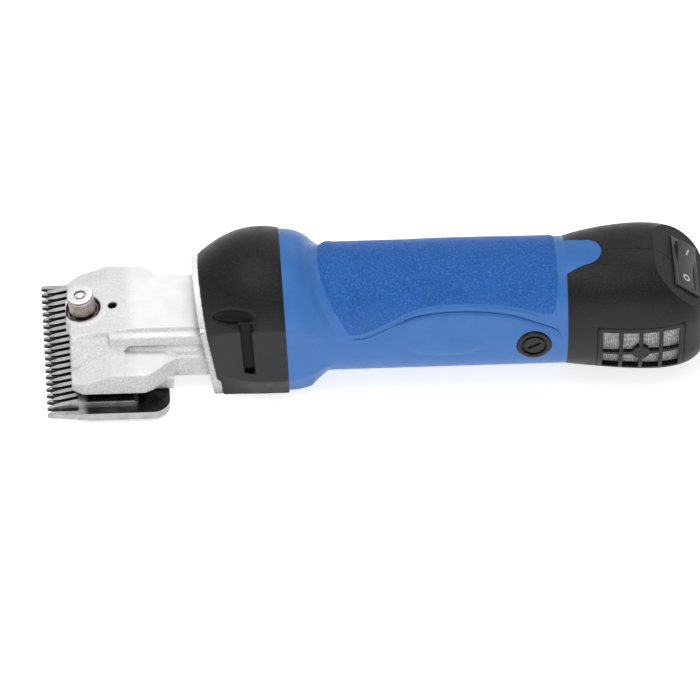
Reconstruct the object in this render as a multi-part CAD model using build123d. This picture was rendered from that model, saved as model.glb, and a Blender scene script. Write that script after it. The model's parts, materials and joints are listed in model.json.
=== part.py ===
from build123d import *
import math
import os

os.makedirs("parts", exist_ok=True)

# Electric sheep shears, in millimetres.
# X runs from the comb's tips (0) to the cord end, Y is across and Z is up. The tool is modelled
# with its motor axis on Z = 0, and place() sets it on its base with the origin under its middle.

# ------------------------------------------------------------------ driving dimensions
FIT = 0.05                      # radial clearance of a running fit
LOOSE = 0.3                     # clearance between parts that only pass each other
AXIS_HEIGHT = 28.0              # motor axis above the surface that the tool rests on

# comb and cutter
COMB_TEETH = 21
TOOTH_PITCH = 3.88
TOOTH_GAP = 1.8
TOOTH_LENGTH = 13.0
TIP_TAPER = 3.0                 # length over which a tooth narrows to its point
COMB_HALF_WIDTH = COMB_TEETH * TOOTH_PITCH / 2 - 0.8
COMB_LENGTH = 54.0
COMB_THICKNESS = 4.2
COMB_TOP = -22.3
COMB_REAR_RADIUS = 8.0
COMB_TIP_THICKNESS = 1.3
CUTTER_SETBACK = 2.6
CUTTER_TEETH = COMB_TEETH - 2
CUTTER_LENGTH = 37.4
CUTTER_THICKNESS = 3.5
CUTTER_TIP_THICKNESS = 0.7
BLADE_GAP = 0.1                 # oil film between cutter and comb

# fork lever and its drive
FULCRUM_X = 46.0
FULCRUM_RADIUS = 3.0
CRANK_X = 65.5                  # middle of the crank roller
CRANK_AXIS_Z = -14.0
CRANK_THROW = 1.25
ROLLER_RADIUS = 3.4
ROLLER_WIDTH = 7.0
CRANK_PIN_RADIUS = 2.0
LEVER_TOP = -8.5
LEVER_BOTTOM = -16.8
FINGER_X = 20.0
FINGER_Y = 13.0
FINGER_RADIUS = 2.4
FINGER_DEPTH = 2.4              # how far a finger's point reaches into the cutter
LEVER_SWING = 3.6               # degrees each side of the middle
TINE = 2.3                      # width of each of the fork's rear tines
CRANK_DISC_RADIUS = 6.2
CRANK_DISC_FRONT = CRANK_X + ROLLER_WIDTH / 2 + LOOSE

# gears
GEAR_MODULE = 0.7
PINION_TEETH = 8
GEAR_TEETH = 32
GEAR_X = 85.0
GEAR_WIDTH = 6.5
PINION_X = 84.0
PINION_WIDTH = 9.0

# head casting
HEAD_FRONT = 11.0
HEAD_TOP = 6.2
TUNNEL_HALF_WIDTH = 16.3
WING_HALF_WIDTH = 34.0
WING_UNDERSIDE = -16.5
HEAD_WALL = 3.0
FACET_END = 37.0                # where the sloping front facet meets the tunnel's top
FACET_FRONT_Z = 1.8
SHELF_START = 28.6              # where the wings' front slope meets their level shelf
SHELF_END = 52.0
SHELF_Z = -5.0
CHEEK_TOP_Z = 2.0               # top and bottom of the sloping cheeks beside the tunnel
CHEEK_BOTTOM_Z = -10.0
CHEEK_HALF_WIDTH = 23.0
NECK_HALF_WIDTH = 20.3
NECK_BOTTOM = -20.0
FLANGE_X = 69.0                 # front face of the flange on the motor axis
FLANGE_THICKNESS = 3.0
HEAD_SCREWS = [(-20.5, 9.0), (20.5, 9.0), (-20.0, -23.5), (20.0, -23.5)]   # each screw's Y and Z
HEAD_SCREW_RADIUS = 1.7
HEAD_SCREW_LENGTH = 12.0
HEAD_SCREW_SINK = 1.8           # depth of a screw's counterbore in the flange
FLANGE_LEAN = 10.0              # degrees that the flange's top leans towards the blades
LUG_END = 79.5                  # rear of the two feet under the flange
LUG_INNER = 13.0
LUG_OUTER = 24.6
LUG_TOP = -19.5
SEAT_FRONT = 43.6               # comb seat on the head's underside
SEAT_INNER = 14.0
SEAT_OUTER = 26.0
COMB_SCREW_X = 49.0
COMB_SCREW_Y = 20.0
COMB_SCREW_RADIUS = 2.5

# tension knob
KNOB_X = 17.0
KNOB_Z = 3.0
KNOB_LEAN = 9.5
KNOB_RADIUS = 5.9
KNOB_HEIGHT = 9.4
KNOB_HOLE_RADIUS = 7.8
TENSION_SLEEVE_RADIUS = 4.2
TENSION_PIN_RADIUS = 2.2
TENSION_BASE = -4.5             # floor of the knob's recess, along the knob's axis
PIN_BOTTOM = -14.3

# gear housing
SEAM_X = 105.4                  # joint with the motor casing, on the motor axis
SEAM_LEAN = 3.3
BASE_HALF_WIDTH = 25.0
# distance in front of the seam, lean, radius on top, half width, height of the knee
HOUSING_STATIONS = [(21.4, 7.0, 33.4, 29.6, -15.0), (0.0, SEAM_LEAN, 35.5, 31.4, -14.0)]
HOUSING_FRONT = (25.6, 24.4, -16.0)     # the same three sizes at the flange
SLOT_X = 88.1                   # cooling slot in each cheek
SLOT_Z = 4.0
SLOT_LENGTH = 27.0
SLOT_WIDTH = 4.6
SLOT_LEAN = 4.5
SLOT_DEPTH = 8.0
SCALLOP_X = 83.0                # scallop over each casing screw
SCALLOP_Y = 31.5
SCALLOP_Z = 23.5
SCALLOP_RADIUS = 7.0
SCALLOP_LENGTH = 19.0
BASE_TRIM = 1.0                 # cut from the keel to leave a flat base

# motor casing
GRIP_RADIUS = 28.0
CASING_END = 229.0
CASING_BORE = 25.2
# distance behind the seam, lean, radius on top, half width, height of the knee, half width and
# depth of the foot: first the bell, then the shoulder that runs into the grip
BELL_STATIONS = [(0.0, SEAM_LEAN, 35.0, 30.9, -14.0, 24.6, 27.6), (6.6, 0.0, 33.6, 30.2, -14.0, 24.2, 27.6),
                 (11.6, 0.0, 30.6, 28.4, -13.0, 23.0, 27.2)]
SHOULDER_STATIONS = [BELL_STATIONS[-1], (15.1, 0.0, 28.6, 27.4, -12.0, 20.0, 25.0),
                     (23.6, 0.0, 27.6, 26.0, -10.0, 12.0, 23.0)]
AIR_HOLES = 8                   # in the wall that carries the rear bearing
AIR_HOLE_RADIUS = 3.4
AIR_HOLE_CIRCLE = 18.0
REAR_WALL_X = 220.5             # front of that wall
PANEL_RISE = 0.45               # how far the grained grip panel stands over the grip
# half width of the panel along the grip, seen from above
PANEL_EDGE = [(131.0, 26.6), (137.7, 26.9), (146.5, 25.6), (163.2, 21.9), (184.4, 20.8), (205.5, 22.1),
              (217.8, 24.0), (224.8, 22.6)]
PAD_X = 175.3                   # thumb pad on each side of the grip
PAD_Z = 1.0
PAD_HALF_LENGTH = 16.5
PAD_HALF_HEIGHT = 5.8

# rear cover
COVER_END = 290.0
COVER_WALL = 2.6
COVER_START_RADIUS = 0.2        # how much squarer than round the cover is where it meets the casing
# share of the cover's length, then half width, height over and under the axis, and corner radius
COVER_STATIONS = [(0.328, 30.0, 30.0, 27.8, 25.0), (0.639, 29.8, 29.2, 27.8, 22.0),
                  (0.869, 26.0, 24.5, 26.0, 18.0), (1.0, 18.0, 14.0, 21.0, 13.0)]
TONGUE_BASE = 11.0              # half width of the casing's tongue where it leaves the casing
TONGUE_WIDTH = 7.5              # and near its rounded tip
TONGUE_TIP = 244.7
FILTER_SETBACK = 48.0           # from the cover's end to the front of the filter cover
FILTER_X = COVER_END - FILTER_SETBACK
FILTER_LENGTH = 38.0
FILTER_TOP = 10.0
FILTER_BOTTOM = -19.0
FILTER_COLUMNS = 4
GLAND_RADIUS = 9.0
GLAND_Z = -6.0
GLAND_LENGTH = 6.0
GLAND_DEPTH = 9.0               # how far the gland reaches into the cover
GLAND_NECK_RADIUS = 7.5
CORD_HOLE_RADIUS = 3.5
TOTAL_LENGTH = COVER_END + GLAND_LENGTH

# motor
SHAFT_RADIUS = 4.0
BEARING_RADIUS = 11.0
BEARING_SPLIT = 7.0             # outside of a bearing's inner ring
BEARING_WIDTH = 7.0
FRONT_BEARING_X = 98.0
REAR_BEARING_X = 222.0
CRANK_BEARING_X = 76.5
TAIL_BEARING_RADIUS = 7.5       # the crank shaft's rear bearing
TAIL_BEARING_WIDTH = 4.0
FAN_X = 109.0
FAN_RADIUS = 23.0
FAN_WIDTH = 9.0
FAN_BLADES = 12
STATOR_X = 130.0
STATOR_LENGTH = 50.0
STATOR_BORE = 15.9
WINDOW_INNER = 17.0             # the stator's side windows, which hold the field coils
WINDOW_OUTER = 21.5
WINDOW_HALF_HEIGHT = 10.0
ARMATURE_RADIUS = 15.4
WINDING_OVERHANG = 8.0
COMMUTATOR_X = 208.0
COMMUTATOR_LENGTH = 11.5
COMMUTATOR_RADIUS = 10.5
BRUSH_X = 214.0
BRUSH_WIDTH = 6.0
BRUSH_DEPTH = 8.0
BRUSH_CAP_RADIUS = 7.7
BRUSH_CAP_THICKNESS = 4.0
BEARING_PLATE_X = 93.0
BEARING_PLATE_RADIUS = 26.0
BEARING_PLATE_THICKNESS = 10.4

# switch
SWITCH_SETBACK = 8.4            # from the cover's end to the middle of the switch
SWITCH_X = COVER_END - SWITCH_SETBACK
SWITCH_Z = 17.7
SWITCH_SLOPE = 40.0
ROCKER_LENGTH = 24.0
ROCKER_WIDTH = 9.0
ROCKER_TILT = 8.0
ROCKER_PROUD = 0.6
ROCKER_DEPTH = 3.2              # underside of the rocker below the switch's face
ROCKER_GAP = 0.8                # between the rocker's ends and the switch body
ROCKER_SIDE_GAP = 0.5           # between the rocker's sides and the switch body
SWITCH_WALL = 1.2
SWITCH_DEPTH = 18.0
SWITCH_WELL = 7.0               # depth of the well that the rocker tilts in
SWITCH_RIM = 0.8                # the body's rim, standing on the cover
SWITCH_RIM_WIDTH = 0.8
PIVOT_RADIUS = 1.1              # the rocker's pivot pins
PIVOT_DEPTH = 1.6               # pivot below the switch's face
PIVOT_REACH = 0.8               # how far each pin goes into the body's wall

CENTRED = (Align.CENTER, Align.CENTER, Align.MIN)


# ------------------------------------------------------------------ building helpers
def across(x, lean=0.0):
    """Plane square to the motor axis at x, its top leaning towards the blades by lean degrees."""
    a = math.radians(lean)
    return Plane(origin=(x, 0, 0), x_dir=(0, 1, 0), z_dir=(math.cos(a), 0, math.sin(a)))


def rod(x0, x1, radius, z=0.0, y=0.0):
    """Cylinder along X from x0 to x1."""
    plane = Plane(origin=(x0, y, z), x_dir=(0, 1, 0), z_dir=(1, 0, 0))
    return plane * Cylinder(radius, x1 - x0, align=CENTRED)


def ring(x0, x1, outer, inner, z=0.0):
    return rod(x0, x1, outer, z) - rod(x0, x1, inner, z)


def post(x, y, z0, z1, radius):
    """Upright cylinder from z0 to z1."""
    return Pos(x, y, z0) * Cylinder(radius, z1 - z0, align=CENTRED)


def side_slab(points, half_width):
    """Outline in X and Z, made solid to half_width on each side of the middle."""
    return extrude(Plane.XZ * make_face(Polyline(*points, close=True)), half_width, both=True)


def cross_slab(points, x0, x1):
    """Outline in Y and Z, made solid from x0 to x1."""
    return extrude(across(x0) * make_face(Polyline(*points, close=True)), x1 - x0)


def plan_slab(points, z0, z1):
    """Outline in X and Y, made solid from z0 to z1."""
    return extrude(Plane.XY.offset(z0) * make_face(Polyline(*points, close=True)), z1 - z0)


def block(x0, x1, y0, y1, z0, z1):
    return Pos((x0 + x1) / 2, (y0 + y1) / 2, (z0 + z1) / 2) * Box(x1 - x0, y1 - y0, z1 - z0)


def both_sides(shape):
    """The shape and its mirror image across the middle plane."""
    return [shape, mirror(shape, Plane.XZ)]


def group(shapes):
    return Compound([solid for shape in shapes for solid in shape.solids()])


def place(shape):
    solids = [Pos(-TOTAL_LENGTH / 2, 0, AXIS_HEIGHT) * solid for solid in shape.solids()]
    return Compound(solids) if len(solids) > 1 else solids[0]


# ------------------------------------------------------------------ blades
def tooth_gaps(count, front, length):
    """Gaps between the teeth of a blade, each widening towards the points."""
    narrow = TOOTH_GAP / 2
    wide = TOOTH_PITCH / 2 - 0.45
    gap = make_face(Polyline(
        (front - 1, -wide), (front, -wide), (front + TIP_TAPER, -narrow), (front + length, -narrow),
        (front + length, narrow), (front + TIP_TAPER, narrow), (front, wide), (front - 1, wide),
        close=True))
    gap += Pos(front + length, 0) * Circle(narrow)
    middles = [(i - (count - 2) / 2) * TOOTH_PITCH for i in range(count - 1)]
    depth = COMB_THICKNESS + CUTTER_THICKNESS + 4
    return [extrude(Plane.XY.offset(COMB_TOP - COMB_THICKNESS - 2) * Pos(0, y) * gap, depth) for y in middles]


def make_comb():
    bottom = COMB_TOP - COMB_THICKNESS
    plate = side_slab([
        (0, COMB_TOP - 0.5), (2, COMB_TOP), (COMB_LENGTH, COMB_TOP), (COMB_LENGTH, bottom),
        (TOOTH_LENGTH + 6, bottom), (0, COMB_TOP - 0.5 - COMB_TIP_THICKNESS)], COMB_HALF_WIDTH)
    rear_corners = plate.edges().filter_by(Axis.Z).group_by(Axis.X)[-1]
    plate = fillet(rear_corners, COMB_REAR_RADIUS)
    for gap in tooth_gaps(COMB_TEETH, 0, TOOTH_LENGTH):
        plate -= gap
    for y in (-COMB_SCREW_Y, COMB_SCREW_Y):
        plate -= post(COMB_SCREW_X, y, bottom - 1, COMB_TOP + 1, COMB_SCREW_RADIUS + LOOSE)
    return plate


def make_cutter():
    bottom = COMB_TOP + BLADE_GAP
    top = bottom + CUTTER_THICKNESS
    front = CUTTER_SETBACK
    rear = front + CUTTER_LENGTH
    half_width = CUTTER_TEETH * TOOTH_PITCH / 2 - 0.8
    plate = side_slab([
        (front, bottom), (front, bottom + CUTTER_TIP_THICKNESS), (front + TOOTH_LENGTH - 2, top),
        (rear - 2, top), (rear, top - 1.2), (rear, bottom)], half_width)
    plate = fillet(plate.edges().filter_by(Axis.Z).group_by(Axis.X)[-1], 2.0)
    for gap in tooth_gaps(CUTTER_TEETH, front, TOOTH_LENGTH - CUTTER_SETBACK):
        plate -= gap
    hollow = block(front + TOOTH_LENGTH + 1, rear - 6, -half_width + 4, half_width - 4, top - 1.0, top + 1)
    plate -= hollow
    for y in (-FINGER_Y, FINGER_Y):
        plate += post(FINGER_X, y, top - 1.5, top, FINGER_RADIUS + 3)
        plate -= post(FINGER_X, y, top - FINGER_DEPTH - FIT, top + 1, FINGER_RADIUS + FIT)
    return plate


def make_comb_screws():
    head_top = COMB_TOP - COMB_THICKNESS
    screws = []
    for y in (-COMB_SCREW_Y, COMB_SCREW_Y):
        screw = post(COMB_SCREW_X, y, head_top, COMB_TOP + 5.0, COMB_SCREW_RADIUS)
        head = post(COMB_SCREW_X, y, head_top - 1.3, head_top, 4.6)
        head -= block(COMB_SCREW_X - 5, COMB_SCREW_X + 5, y - 0.6, y + 0.6, head_top - 1.4, head_top - 0.7)
        screws.append(screw + head)
    return group(screws)


# ------------------------------------------------------------------ head casting
def knob_plane(height=0.0):
    """Plane square to the knob's leaning axis, height above the knob's base."""
    a = math.radians(KNOB_LEAN)
    origin = Vector(KNOB_X, 0, KNOB_Z) + Vector(-math.sin(a), 0, math.cos(a)) * height
    return Plane(origin=origin, x_dir=(math.cos(a), 0, math.sin(a)), z_dir=(-math.sin(a), 0, math.cos(a)))


def on_knob_axis(z0, z1, radius):
    return knob_plane(z0) * Cylinder(radius, z1 - z0, align=CENTRED)


def housing_section(x, lean, top_radius, side, knee, low, bottom=AXIS_HEIGHT):
    """Arched section with upright sides, and a keel that narrows to the flat base."""
    base = -bottom / math.cos(math.radians(lean))
    shoulder = math.sqrt(top_radius ** 2 - side ** 2)
    outline = (
        ThreePointArc((-side, shoulder), (0, top_radius), (side, shoulder))
        + Line((side, shoulder), (side, knee)) + Line((side, knee), (low, base))
        + Line((low, base), (-low, base)) + Line((-low, base), (-side, knee))
        + Line((-side, knee), (-side, shoulder)))
    return across(x, lean) * make_face(outline)


def flange_section(x):
    return housing_section(x, FLANGE_LEAN, 25.0, 23.8, -16.0, BASE_HALF_WIDTH - 1)


def flange_lug():
    """Foot under one corner of the flange, let into the gear housing."""
    lug = block(FLANGE_X, LUG_END, LUG_INNER, LUG_OUTER, -AXIS_HEIGHT, LUG_TOP)
    return lug - (across(FLANGE_X, FLANGE_LEAN) * Pos(0, 0, -50) * Box(100, 100, 100))


def make_head():
    tunnel = side_slab([
        (HEAD_FRONT, -12), (HEAD_FRONT, FACET_FRONT_Z), (FACET_END, HEAD_TOP), (FLANGE_X + 4, HEAD_TOP),
        (FLANGE_X + 4, NECK_BOTTOM), (SEAT_FRONT, NECK_BOTTOM), (SEAT_FRONT, WING_UNDERSIDE),
        (HEAD_FRONT, WING_UNDERSIDE)], WING_HALF_WIDTH)
    hump = cross_slab([
        (-TUNNEL_HALF_WIDTH, 20), (-TUNNEL_HALF_WIDTH, CHEEK_TOP_Z), (-CHEEK_HALF_WIDTH, CHEEK_BOTTOM_Z),
        (-CHEEK_HALF_WIDTH, -30), (CHEEK_HALF_WIDTH, -30), (CHEEK_HALF_WIDTH, CHEEK_BOTTOM_Z),
        (TUNNEL_HALF_WIDTH, CHEEK_TOP_Z), (TUNNEL_HALF_WIDTH, 20)], 0, FACET_END + 4)
    hump &= side_slab([
        (0, 20), (FACET_END + 4, 20), (FACET_END + 4, CHEEK_TOP_Z), (SHELF_START, CHEEK_BOTTOM_Z),
        (SHELF_START, -30), (0, -30)], WING_HALF_WIDTH)
    neck = cross_slab([
        (-TUNNEL_HALF_WIDTH, 20), (-TUNNEL_HALF_WIDTH, 4), (-18.8, 2.5), (-18.8, -2), (-17.6, -4),
        (-19.2, -6), (-19.2, -8), (-NECK_HALF_WIDTH, -9), (-NECK_HALF_WIDTH, -30),
        (NECK_HALF_WIDTH, -30), (NECK_HALF_WIDTH, -9), (19.2, -8), (19.2, -6), (17.6, -4),
        (18.8, -2), (18.8, 2.5), (TUNNEL_HALF_WIDTH, 4), (TUNNEL_HALF_WIDTH, 20)],
        SHELF_START - 1, FLANGE_X + 4)
    centre = tunnel & (hump + neck)
    wing_side = side_slab([
        (HEAD_FRONT, WING_UNDERSIDE), (HEAD_FRONT, -12.5), (SHELF_START, SHELF_Z), (SHELF_END, SHELF_Z - 0.6),
        (58, -8), (70, -9), (70, WING_UNDERSIDE)], 60)
    outline = [
        (HEAD_FRONT, 31), (16, WING_HALF_WIDTH), (43, WING_HALF_WIDTH), (47, 32), (58, NECK_HALF_WIDTH + 1),
        (70, NECK_HALF_WIDTH)]
    outline += [(x, -y) for x, y in reversed(outline)]
    wings = wing_side & plan_slab(outline, -40, 40)
    seats = [block(SEAT_FRONT, 56, SEAT_INNER, SEAT_OUTER, COMB_TOP, WING_UNDERSIDE + 1)]
    head = centre + wings + both_sides(seats[0])
    head -= head & (across(FLANGE_X, FLANGE_LEAN) * Pos(0, 0, 50) * Box(100, 100, 100))
    flange = extrude(flange_section(FLANGE_X), FLANGE_THICKNESS)
    head += flange
    for part in both_sides(flange_lug()):
        head += part
    boss = on_knob_axis(-8, 0.3, KNOB_HOLE_RADIUS + 2.2)
    head += boss & block(HEAD_FRONT - 1.5, 60, -40, 40, WING_UNDERSIDE, 20)
    # room for the fork lever and its drive
    roof = HEAD_TOP - HEAD_WALL
    fork_room = side_slab([
        (HEAD_FRONT + HEAD_WALL, -30), (HEAD_FRONT + HEAD_WALL, -8), (FULCRUM_X - 12, -4),
        (FULCRUM_X - 12, -30)], 19.5)
    fulcrum_room = side_slab([
        (FULCRUM_X - 13, -30), (FULCRUM_X - 13, LEVER_TOP + LOOSE), (57, LEVER_TOP + LOOSE), (57, roof),
        (FLANGE_X + 20, roof), (FLANGE_X + 20, -26), (57, -26), (57, -30)], SEAT_INNER - 0.6)
    fulcrum_room &= block(0, 120, -20, 20, -24, 20)
    head -= fork_room + fulcrum_room
    head -= rod(60, FLANGE_X + 20, BEARING_RADIUS - 1, CRANK_AXIS_Z)
    # fulcrum, comb screws, knob and oil hole
    head -= post(FULCRUM_X, 0, LEVER_TOP - 1, 1.5, FULCRUM_RADIUS + FIT)
    for y in (-COMB_SCREW_Y, COMB_SCREW_Y):
        head -= post(COMB_SCREW_X, y, COMB_TOP - 1, COMB_TOP + 5.2, COMB_SCREW_RADIUS + FIT)
    head -= on_knob_axis(-4.5, 30, KNOB_HOLE_RADIUS)
    head -= on_knob_axis(-30, 30, TENSION_SLEEVE_RADIUS + FIT)
    head -= Pos(30, 0, 0) * Cylinder(2.0, 40)
    for y, z in HEAD_SCREWS:
        head -= rod(60, 90, HEAD_SCREW_RADIUS + FIT, z, y)
        head -= rod(60, head_screw_seat(z), HEAD_SCREW_RADIUS + 0.9 + FIT, z, y)
    return head


def head_screw_seat(z):
    """Where the leaning flange's front face is, at height z."""
    return FLANGE_X - z * math.tan(math.radians(FLANGE_LEAN)) + HEAD_SCREW_SINK


def make_head_screws():
    screws = []
    for y, z in HEAD_SCREWS:
        seat = head_screw_seat(z)
        screw = rod(seat, seat + HEAD_SCREW_LENGTH, HEAD_SCREW_RADIUS, z, y)
        head = rod(seat - HEAD_SCREW_SINK, seat, HEAD_SCREW_RADIUS + 0.9, z, y)
        head -= extrude(across(seat - HEAD_SCREW_SINK - 0.1) * Pos(y, z) * RegularPolygon(1.5, 6), 1.2)
        screws.append(screw + head)
    return group(screws)


# ------------------------------------------------------------------ fork lever
def make_fork_lever():
    slot = ROLLER_RADIUS + 2 * CRANK_THROW + LOOSE
    tine = TINE
    rear = CRANK_DISC_FRONT - LOOSE - (slot + tine) * math.sin(math.radians(LEVER_SWING))
    outline = [
        (rear, slot), (rear, slot + tine), (60, slot + tine), (FULCRUM_X + 4, 7.5), (FULCRUM_X - 6, 7.5),
        (30, 9), (26, FINGER_Y + 3.5), (FINGER_X - 3.5, FINGER_Y + 3.5), (FINGER_X - 3.5, 5),
        (FINGER_X - 4.5, 4)]
    outline += [(x, -y) for x, y in reversed(outline)]
    outline += [(60.5, -slot), (58, -slot + 3), (58, slot - 3), (60.5, slot)]
    lever = plan_slab(outline, LEVER_BOTTOM, LEVER_TOP)
    side = side_slab([
        (10, LEVER_BOTTOM), (10, -11.6), (26, -11.6), (36, LEVER_TOP), (80, LEVER_TOP), (80, -18.5),
        (57, -18.5), (54, LEVER_BOTTOM)], 30)
    lever = lever & side
    for part in both_sides(block(59, rear, slot, slot + tine, -18.5, LEVER_BOTTOM)):
        lever += part
    lever -= post(FULCRUM_X, 0, -30, 10, FULCRUM_RADIUS + FIT)
    for y in (-FINGER_Y, FINGER_Y):
        lever -= post(FINGER_X, y, -30, 10, FINGER_RADIUS)
    return lever


def make_fork_fingers():
    """The two hardened points that drive the cutter, pressed into the fork."""
    top_of_cutter = COMB_TOP + BLADE_GAP + CUTTER_THICKNESS
    fingers = []
    for y in (-FINGER_Y, FINGER_Y):
        finger = post(FINGER_X, y, top_of_cutter - FINGER_DEPTH, -10.6, FINGER_RADIUS)
        finger = chamfer(finger.edges().group_by(Axis.Z)[0], 0.8)
        fingers.append(finger)
    return fingers


def make_fulcrum_post():
    shank = post(FULCRUM_X, 0, LEVER_BOTTOM - 2, 1.3, FULCRUM_RADIUS)
    head = Pos(FULCRUM_X, 0, LEVER_BOTTOM - 3.4) * extrude(RegularPolygon(5.5, 6), 2.4)
    return shank + head


def make_fulcrum_washer():
    washer = post(FULCRUM_X, 0, LEVER_BOTTOM - 1.0, LEVER_BOTTOM - 0.1, 6.0)
    return washer - post(FULCRUM_X, 0, -30, 0, FULCRUM_RADIUS + FIT)


# ------------------------------------------------------------------ tension knob


def make_tension_knob():
    knob = on_knob_axis(0, KNOB_HEIGHT, KNOB_RADIUS)
    knob = chamfer(knob.edges().sort_by(Axis.Z)[-1], 0.9)
    knob -= on_knob_axis(KNOB_HEIGHT - 1.6, KNOB_HEIGHT + 1, 2.6)
    knob += on_knob_axis(KNOB_HEIGHT - 1.6, KNOB_HEIGHT - 0.4, 1.5)
    knob -= on_knob_axis(-1, 5.5, TENSION_SLEEVE_RADIUS + LOOSE)
    return knob


def make_tension_sleeve():
    """Threaded tube that is fixed in the casting and carries the knob."""
    sleeve = on_knob_axis(TENSION_BASE - 3.5, 4.5, TENSION_SLEEVE_RADIUS)
    sleeve += on_knob_axis(TENSION_BASE, TENSION_BASE + 1.0, TENSION_SLEEVE_RADIUS + 1.2)
    return sleeve - on_knob_axis(-30, 30, TENSION_PIN_RADIUS + FIT)


def make_tension_pin():
    tip = knob_plane(PIN_BOTTOM + TENSION_PIN_RADIUS) * Sphere(TENSION_PIN_RADIUS)
    return on_knob_axis(PIN_BOTTOM + TENSION_PIN_RADIUS, 5.2, TENSION_PIN_RADIUS) + tip


def make_tension_spring():
    """Envelope of the light coil spring that keeps the slackened knob from rattling."""
    outer = on_knob_axis(TENSION_BASE + LOOSE, -LOOSE, KNOB_HOLE_RADIUS - 0.8)
    return outer - on_knob_axis(TENSION_BASE - 1, 1, KNOB_HOLE_RADIUS - 2.0)


# ------------------------------------------------------------------ gears and crank
def gear_blank(teeth, width):
    """Spur gear with straight-sided teeth, its axis on the local Z."""
    pitch_radius = GEAR_MODULE * teeth / 2
    root = pitch_radius - 1.25 * GEAR_MODULE
    tip = pitch_radius + 0.9 * GEAR_MODULE
    step = 2 * math.pi / teeth
    half_root = step * 0.34
    half_tip = step * 0.12
    points = []
    for i in range(teeth):
        middle = i * step
        for radius, angle in ((root, -half_root), (tip, -half_tip), (tip, half_tip), (root, half_root)):
            points.append((radius * math.cos(middle + angle), radius * math.sin(middle + angle)))
    return extrude(make_face(Polyline(*points, close=True)), width)


def make_drive_gear():
    turn = 90.0 + 180.0 / GEAR_TEETH      # a gap of the gear stands under a tooth of the pinion
    gear = Rot(0, 0, turn) * gear_blank(GEAR_TEETH, GEAR_WIDTH)
    gear = Plane(origin=(GEAR_X, 0, CRANK_AXIS_Z), x_dir=(0, 1, 0), z_dir=(1, 0, 0)) * gear
    gear -= rod(GEAR_X - 1, GEAR_X + GEAR_WIDTH + 1, SHAFT_RADIUS, CRANK_AXIS_Z)
    return gear


def make_crank_shaft():
    shaft = rod(CRANK_DISC_FRONT, CRANK_BEARING_X - 0.5, CRANK_DISC_RADIUS, CRANK_AXIS_Z)
    shaft += rod(CRANK_BEARING_X - 0.5, BEARING_PLATE_X + TAIL_BEARING_WIDTH, SHAFT_RADIUS, CRANK_AXIS_Z)
    pin_front = CRANK_X - ROLLER_WIDTH / 2 - 0.8
    shaft += rod(pin_front, CRANK_DISC_FRONT, CRANK_PIN_RADIUS, CRANK_AXIS_Z + CRANK_THROW)
    return shaft


def make_crank_roller():
    start = CRANK_X - ROLLER_WIDTH / 2
    z = CRANK_AXIS_Z + CRANK_THROW
    return ring(start, start + ROLLER_WIDTH, ROLLER_RADIUS, CRANK_PIN_RADIUS + FIT, z)


def bearing_rings(x, width, z=0.0, radius=BEARING_RADIUS):
    split = BEARING_SPLIT * radius / BEARING_RADIUS
    outer = ring(x, x + width, radius, split + LOOSE, z)
    inner = ring(x, x + width, split, SHAFT_RADIUS, z)
    return outer, inner


# ------------------------------------------------------------------ gear housing
def make_gear_housing():
    front = FLANGE_X + FLANGE_THICKNESS / math.cos(math.radians(FLANGE_LEAN))
    keel = AXIS_HEIGHT + BASE_TRIM
    sections = [housing_section(front, FLANGE_LEAN, *HOUSING_FRONT, BASE_HALF_WIDTH, keel)]
    for ahead, lean, top, side, knee in HOUSING_STATIONS:
        sections.append(housing_section(SEAM_X - ahead, lean, top, side, knee, BASE_HALF_WIDTH, keel))
    housing = loft(sections)
    housing -= block(0, COVER_END, -2 * BASE_HALF_WIDTH, 2 * BASE_HALF_WIDTH, -2 * AXIS_HEIGHT, -AXIS_HEIGHT)
    for part in both_sides(flange_lug()):
        housing -= part
    # cooling slots in both cheeks, and a scallop over each casing screw
    slot = Pos(SLOT_X, -SCALLOP_Y, SLOT_Z) * Rot(0, -SLOT_LEAN, 0) * Box(SLOT_WIDTH, SLOT_DEPTH, SLOT_LENGTH)
    scallop = Pos(SCALLOP_X, -SCALLOP_Y, SCALLOP_Z) * Rot(0, 90, 0) * Cylinder(SCALLOP_RADIUS, SCALLOP_LENGTH)
    for cut in (slot, scallop):
        for part in both_sides(cut):
            housing -= part
    # gear room, bearing bores and the bearing plate's recess
    gear_room = GEAR_MODULE * GEAR_TEETH / 2 + 2
    housing -= rod(CRANK_BEARING_X + BEARING_WIDTH, BEARING_PLATE_X + 1, gear_room, CRANK_AXIS_Z)
    housing -= rod(CRANK_BEARING_X + 2, BEARING_PLATE_X + 1, 6.0)
    housing -= rod(60, CRANK_BEARING_X + BEARING_WIDTH + 1, BEARING_RADIUS, CRANK_AXIS_Z)
    housing -= rod(BEARING_PLATE_X, SEAM_X + 10, BEARING_PLATE_RADIUS + LOOSE)
    for y, z in HEAD_SCREWS:
        housing -= rod(60, head_screw_seat(z) + HEAD_SCREW_LENGTH + 0.5, HEAD_SCREW_RADIUS + FIT, z, y)
    return housing


def make_bearing_plate():
    plate = rod(BEARING_PLATE_X, BEARING_PLATE_X + BEARING_PLATE_THICKNESS, BEARING_PLATE_RADIUS)
    plate -= rod(FRONT_BEARING_X, FRONT_BEARING_X + BEARING_WIDTH + 1, BEARING_RADIUS)
    plate -= rod(BEARING_PLATE_X - 1, FRONT_BEARING_X + 1, SHAFT_RADIUS + 1)
    plate -= rod(BEARING_PLATE_X - 1, BEARING_PLATE_X + TAIL_BEARING_WIDTH, TAIL_BEARING_RADIUS, CRANK_AXIS_Z)
    return plate


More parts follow.
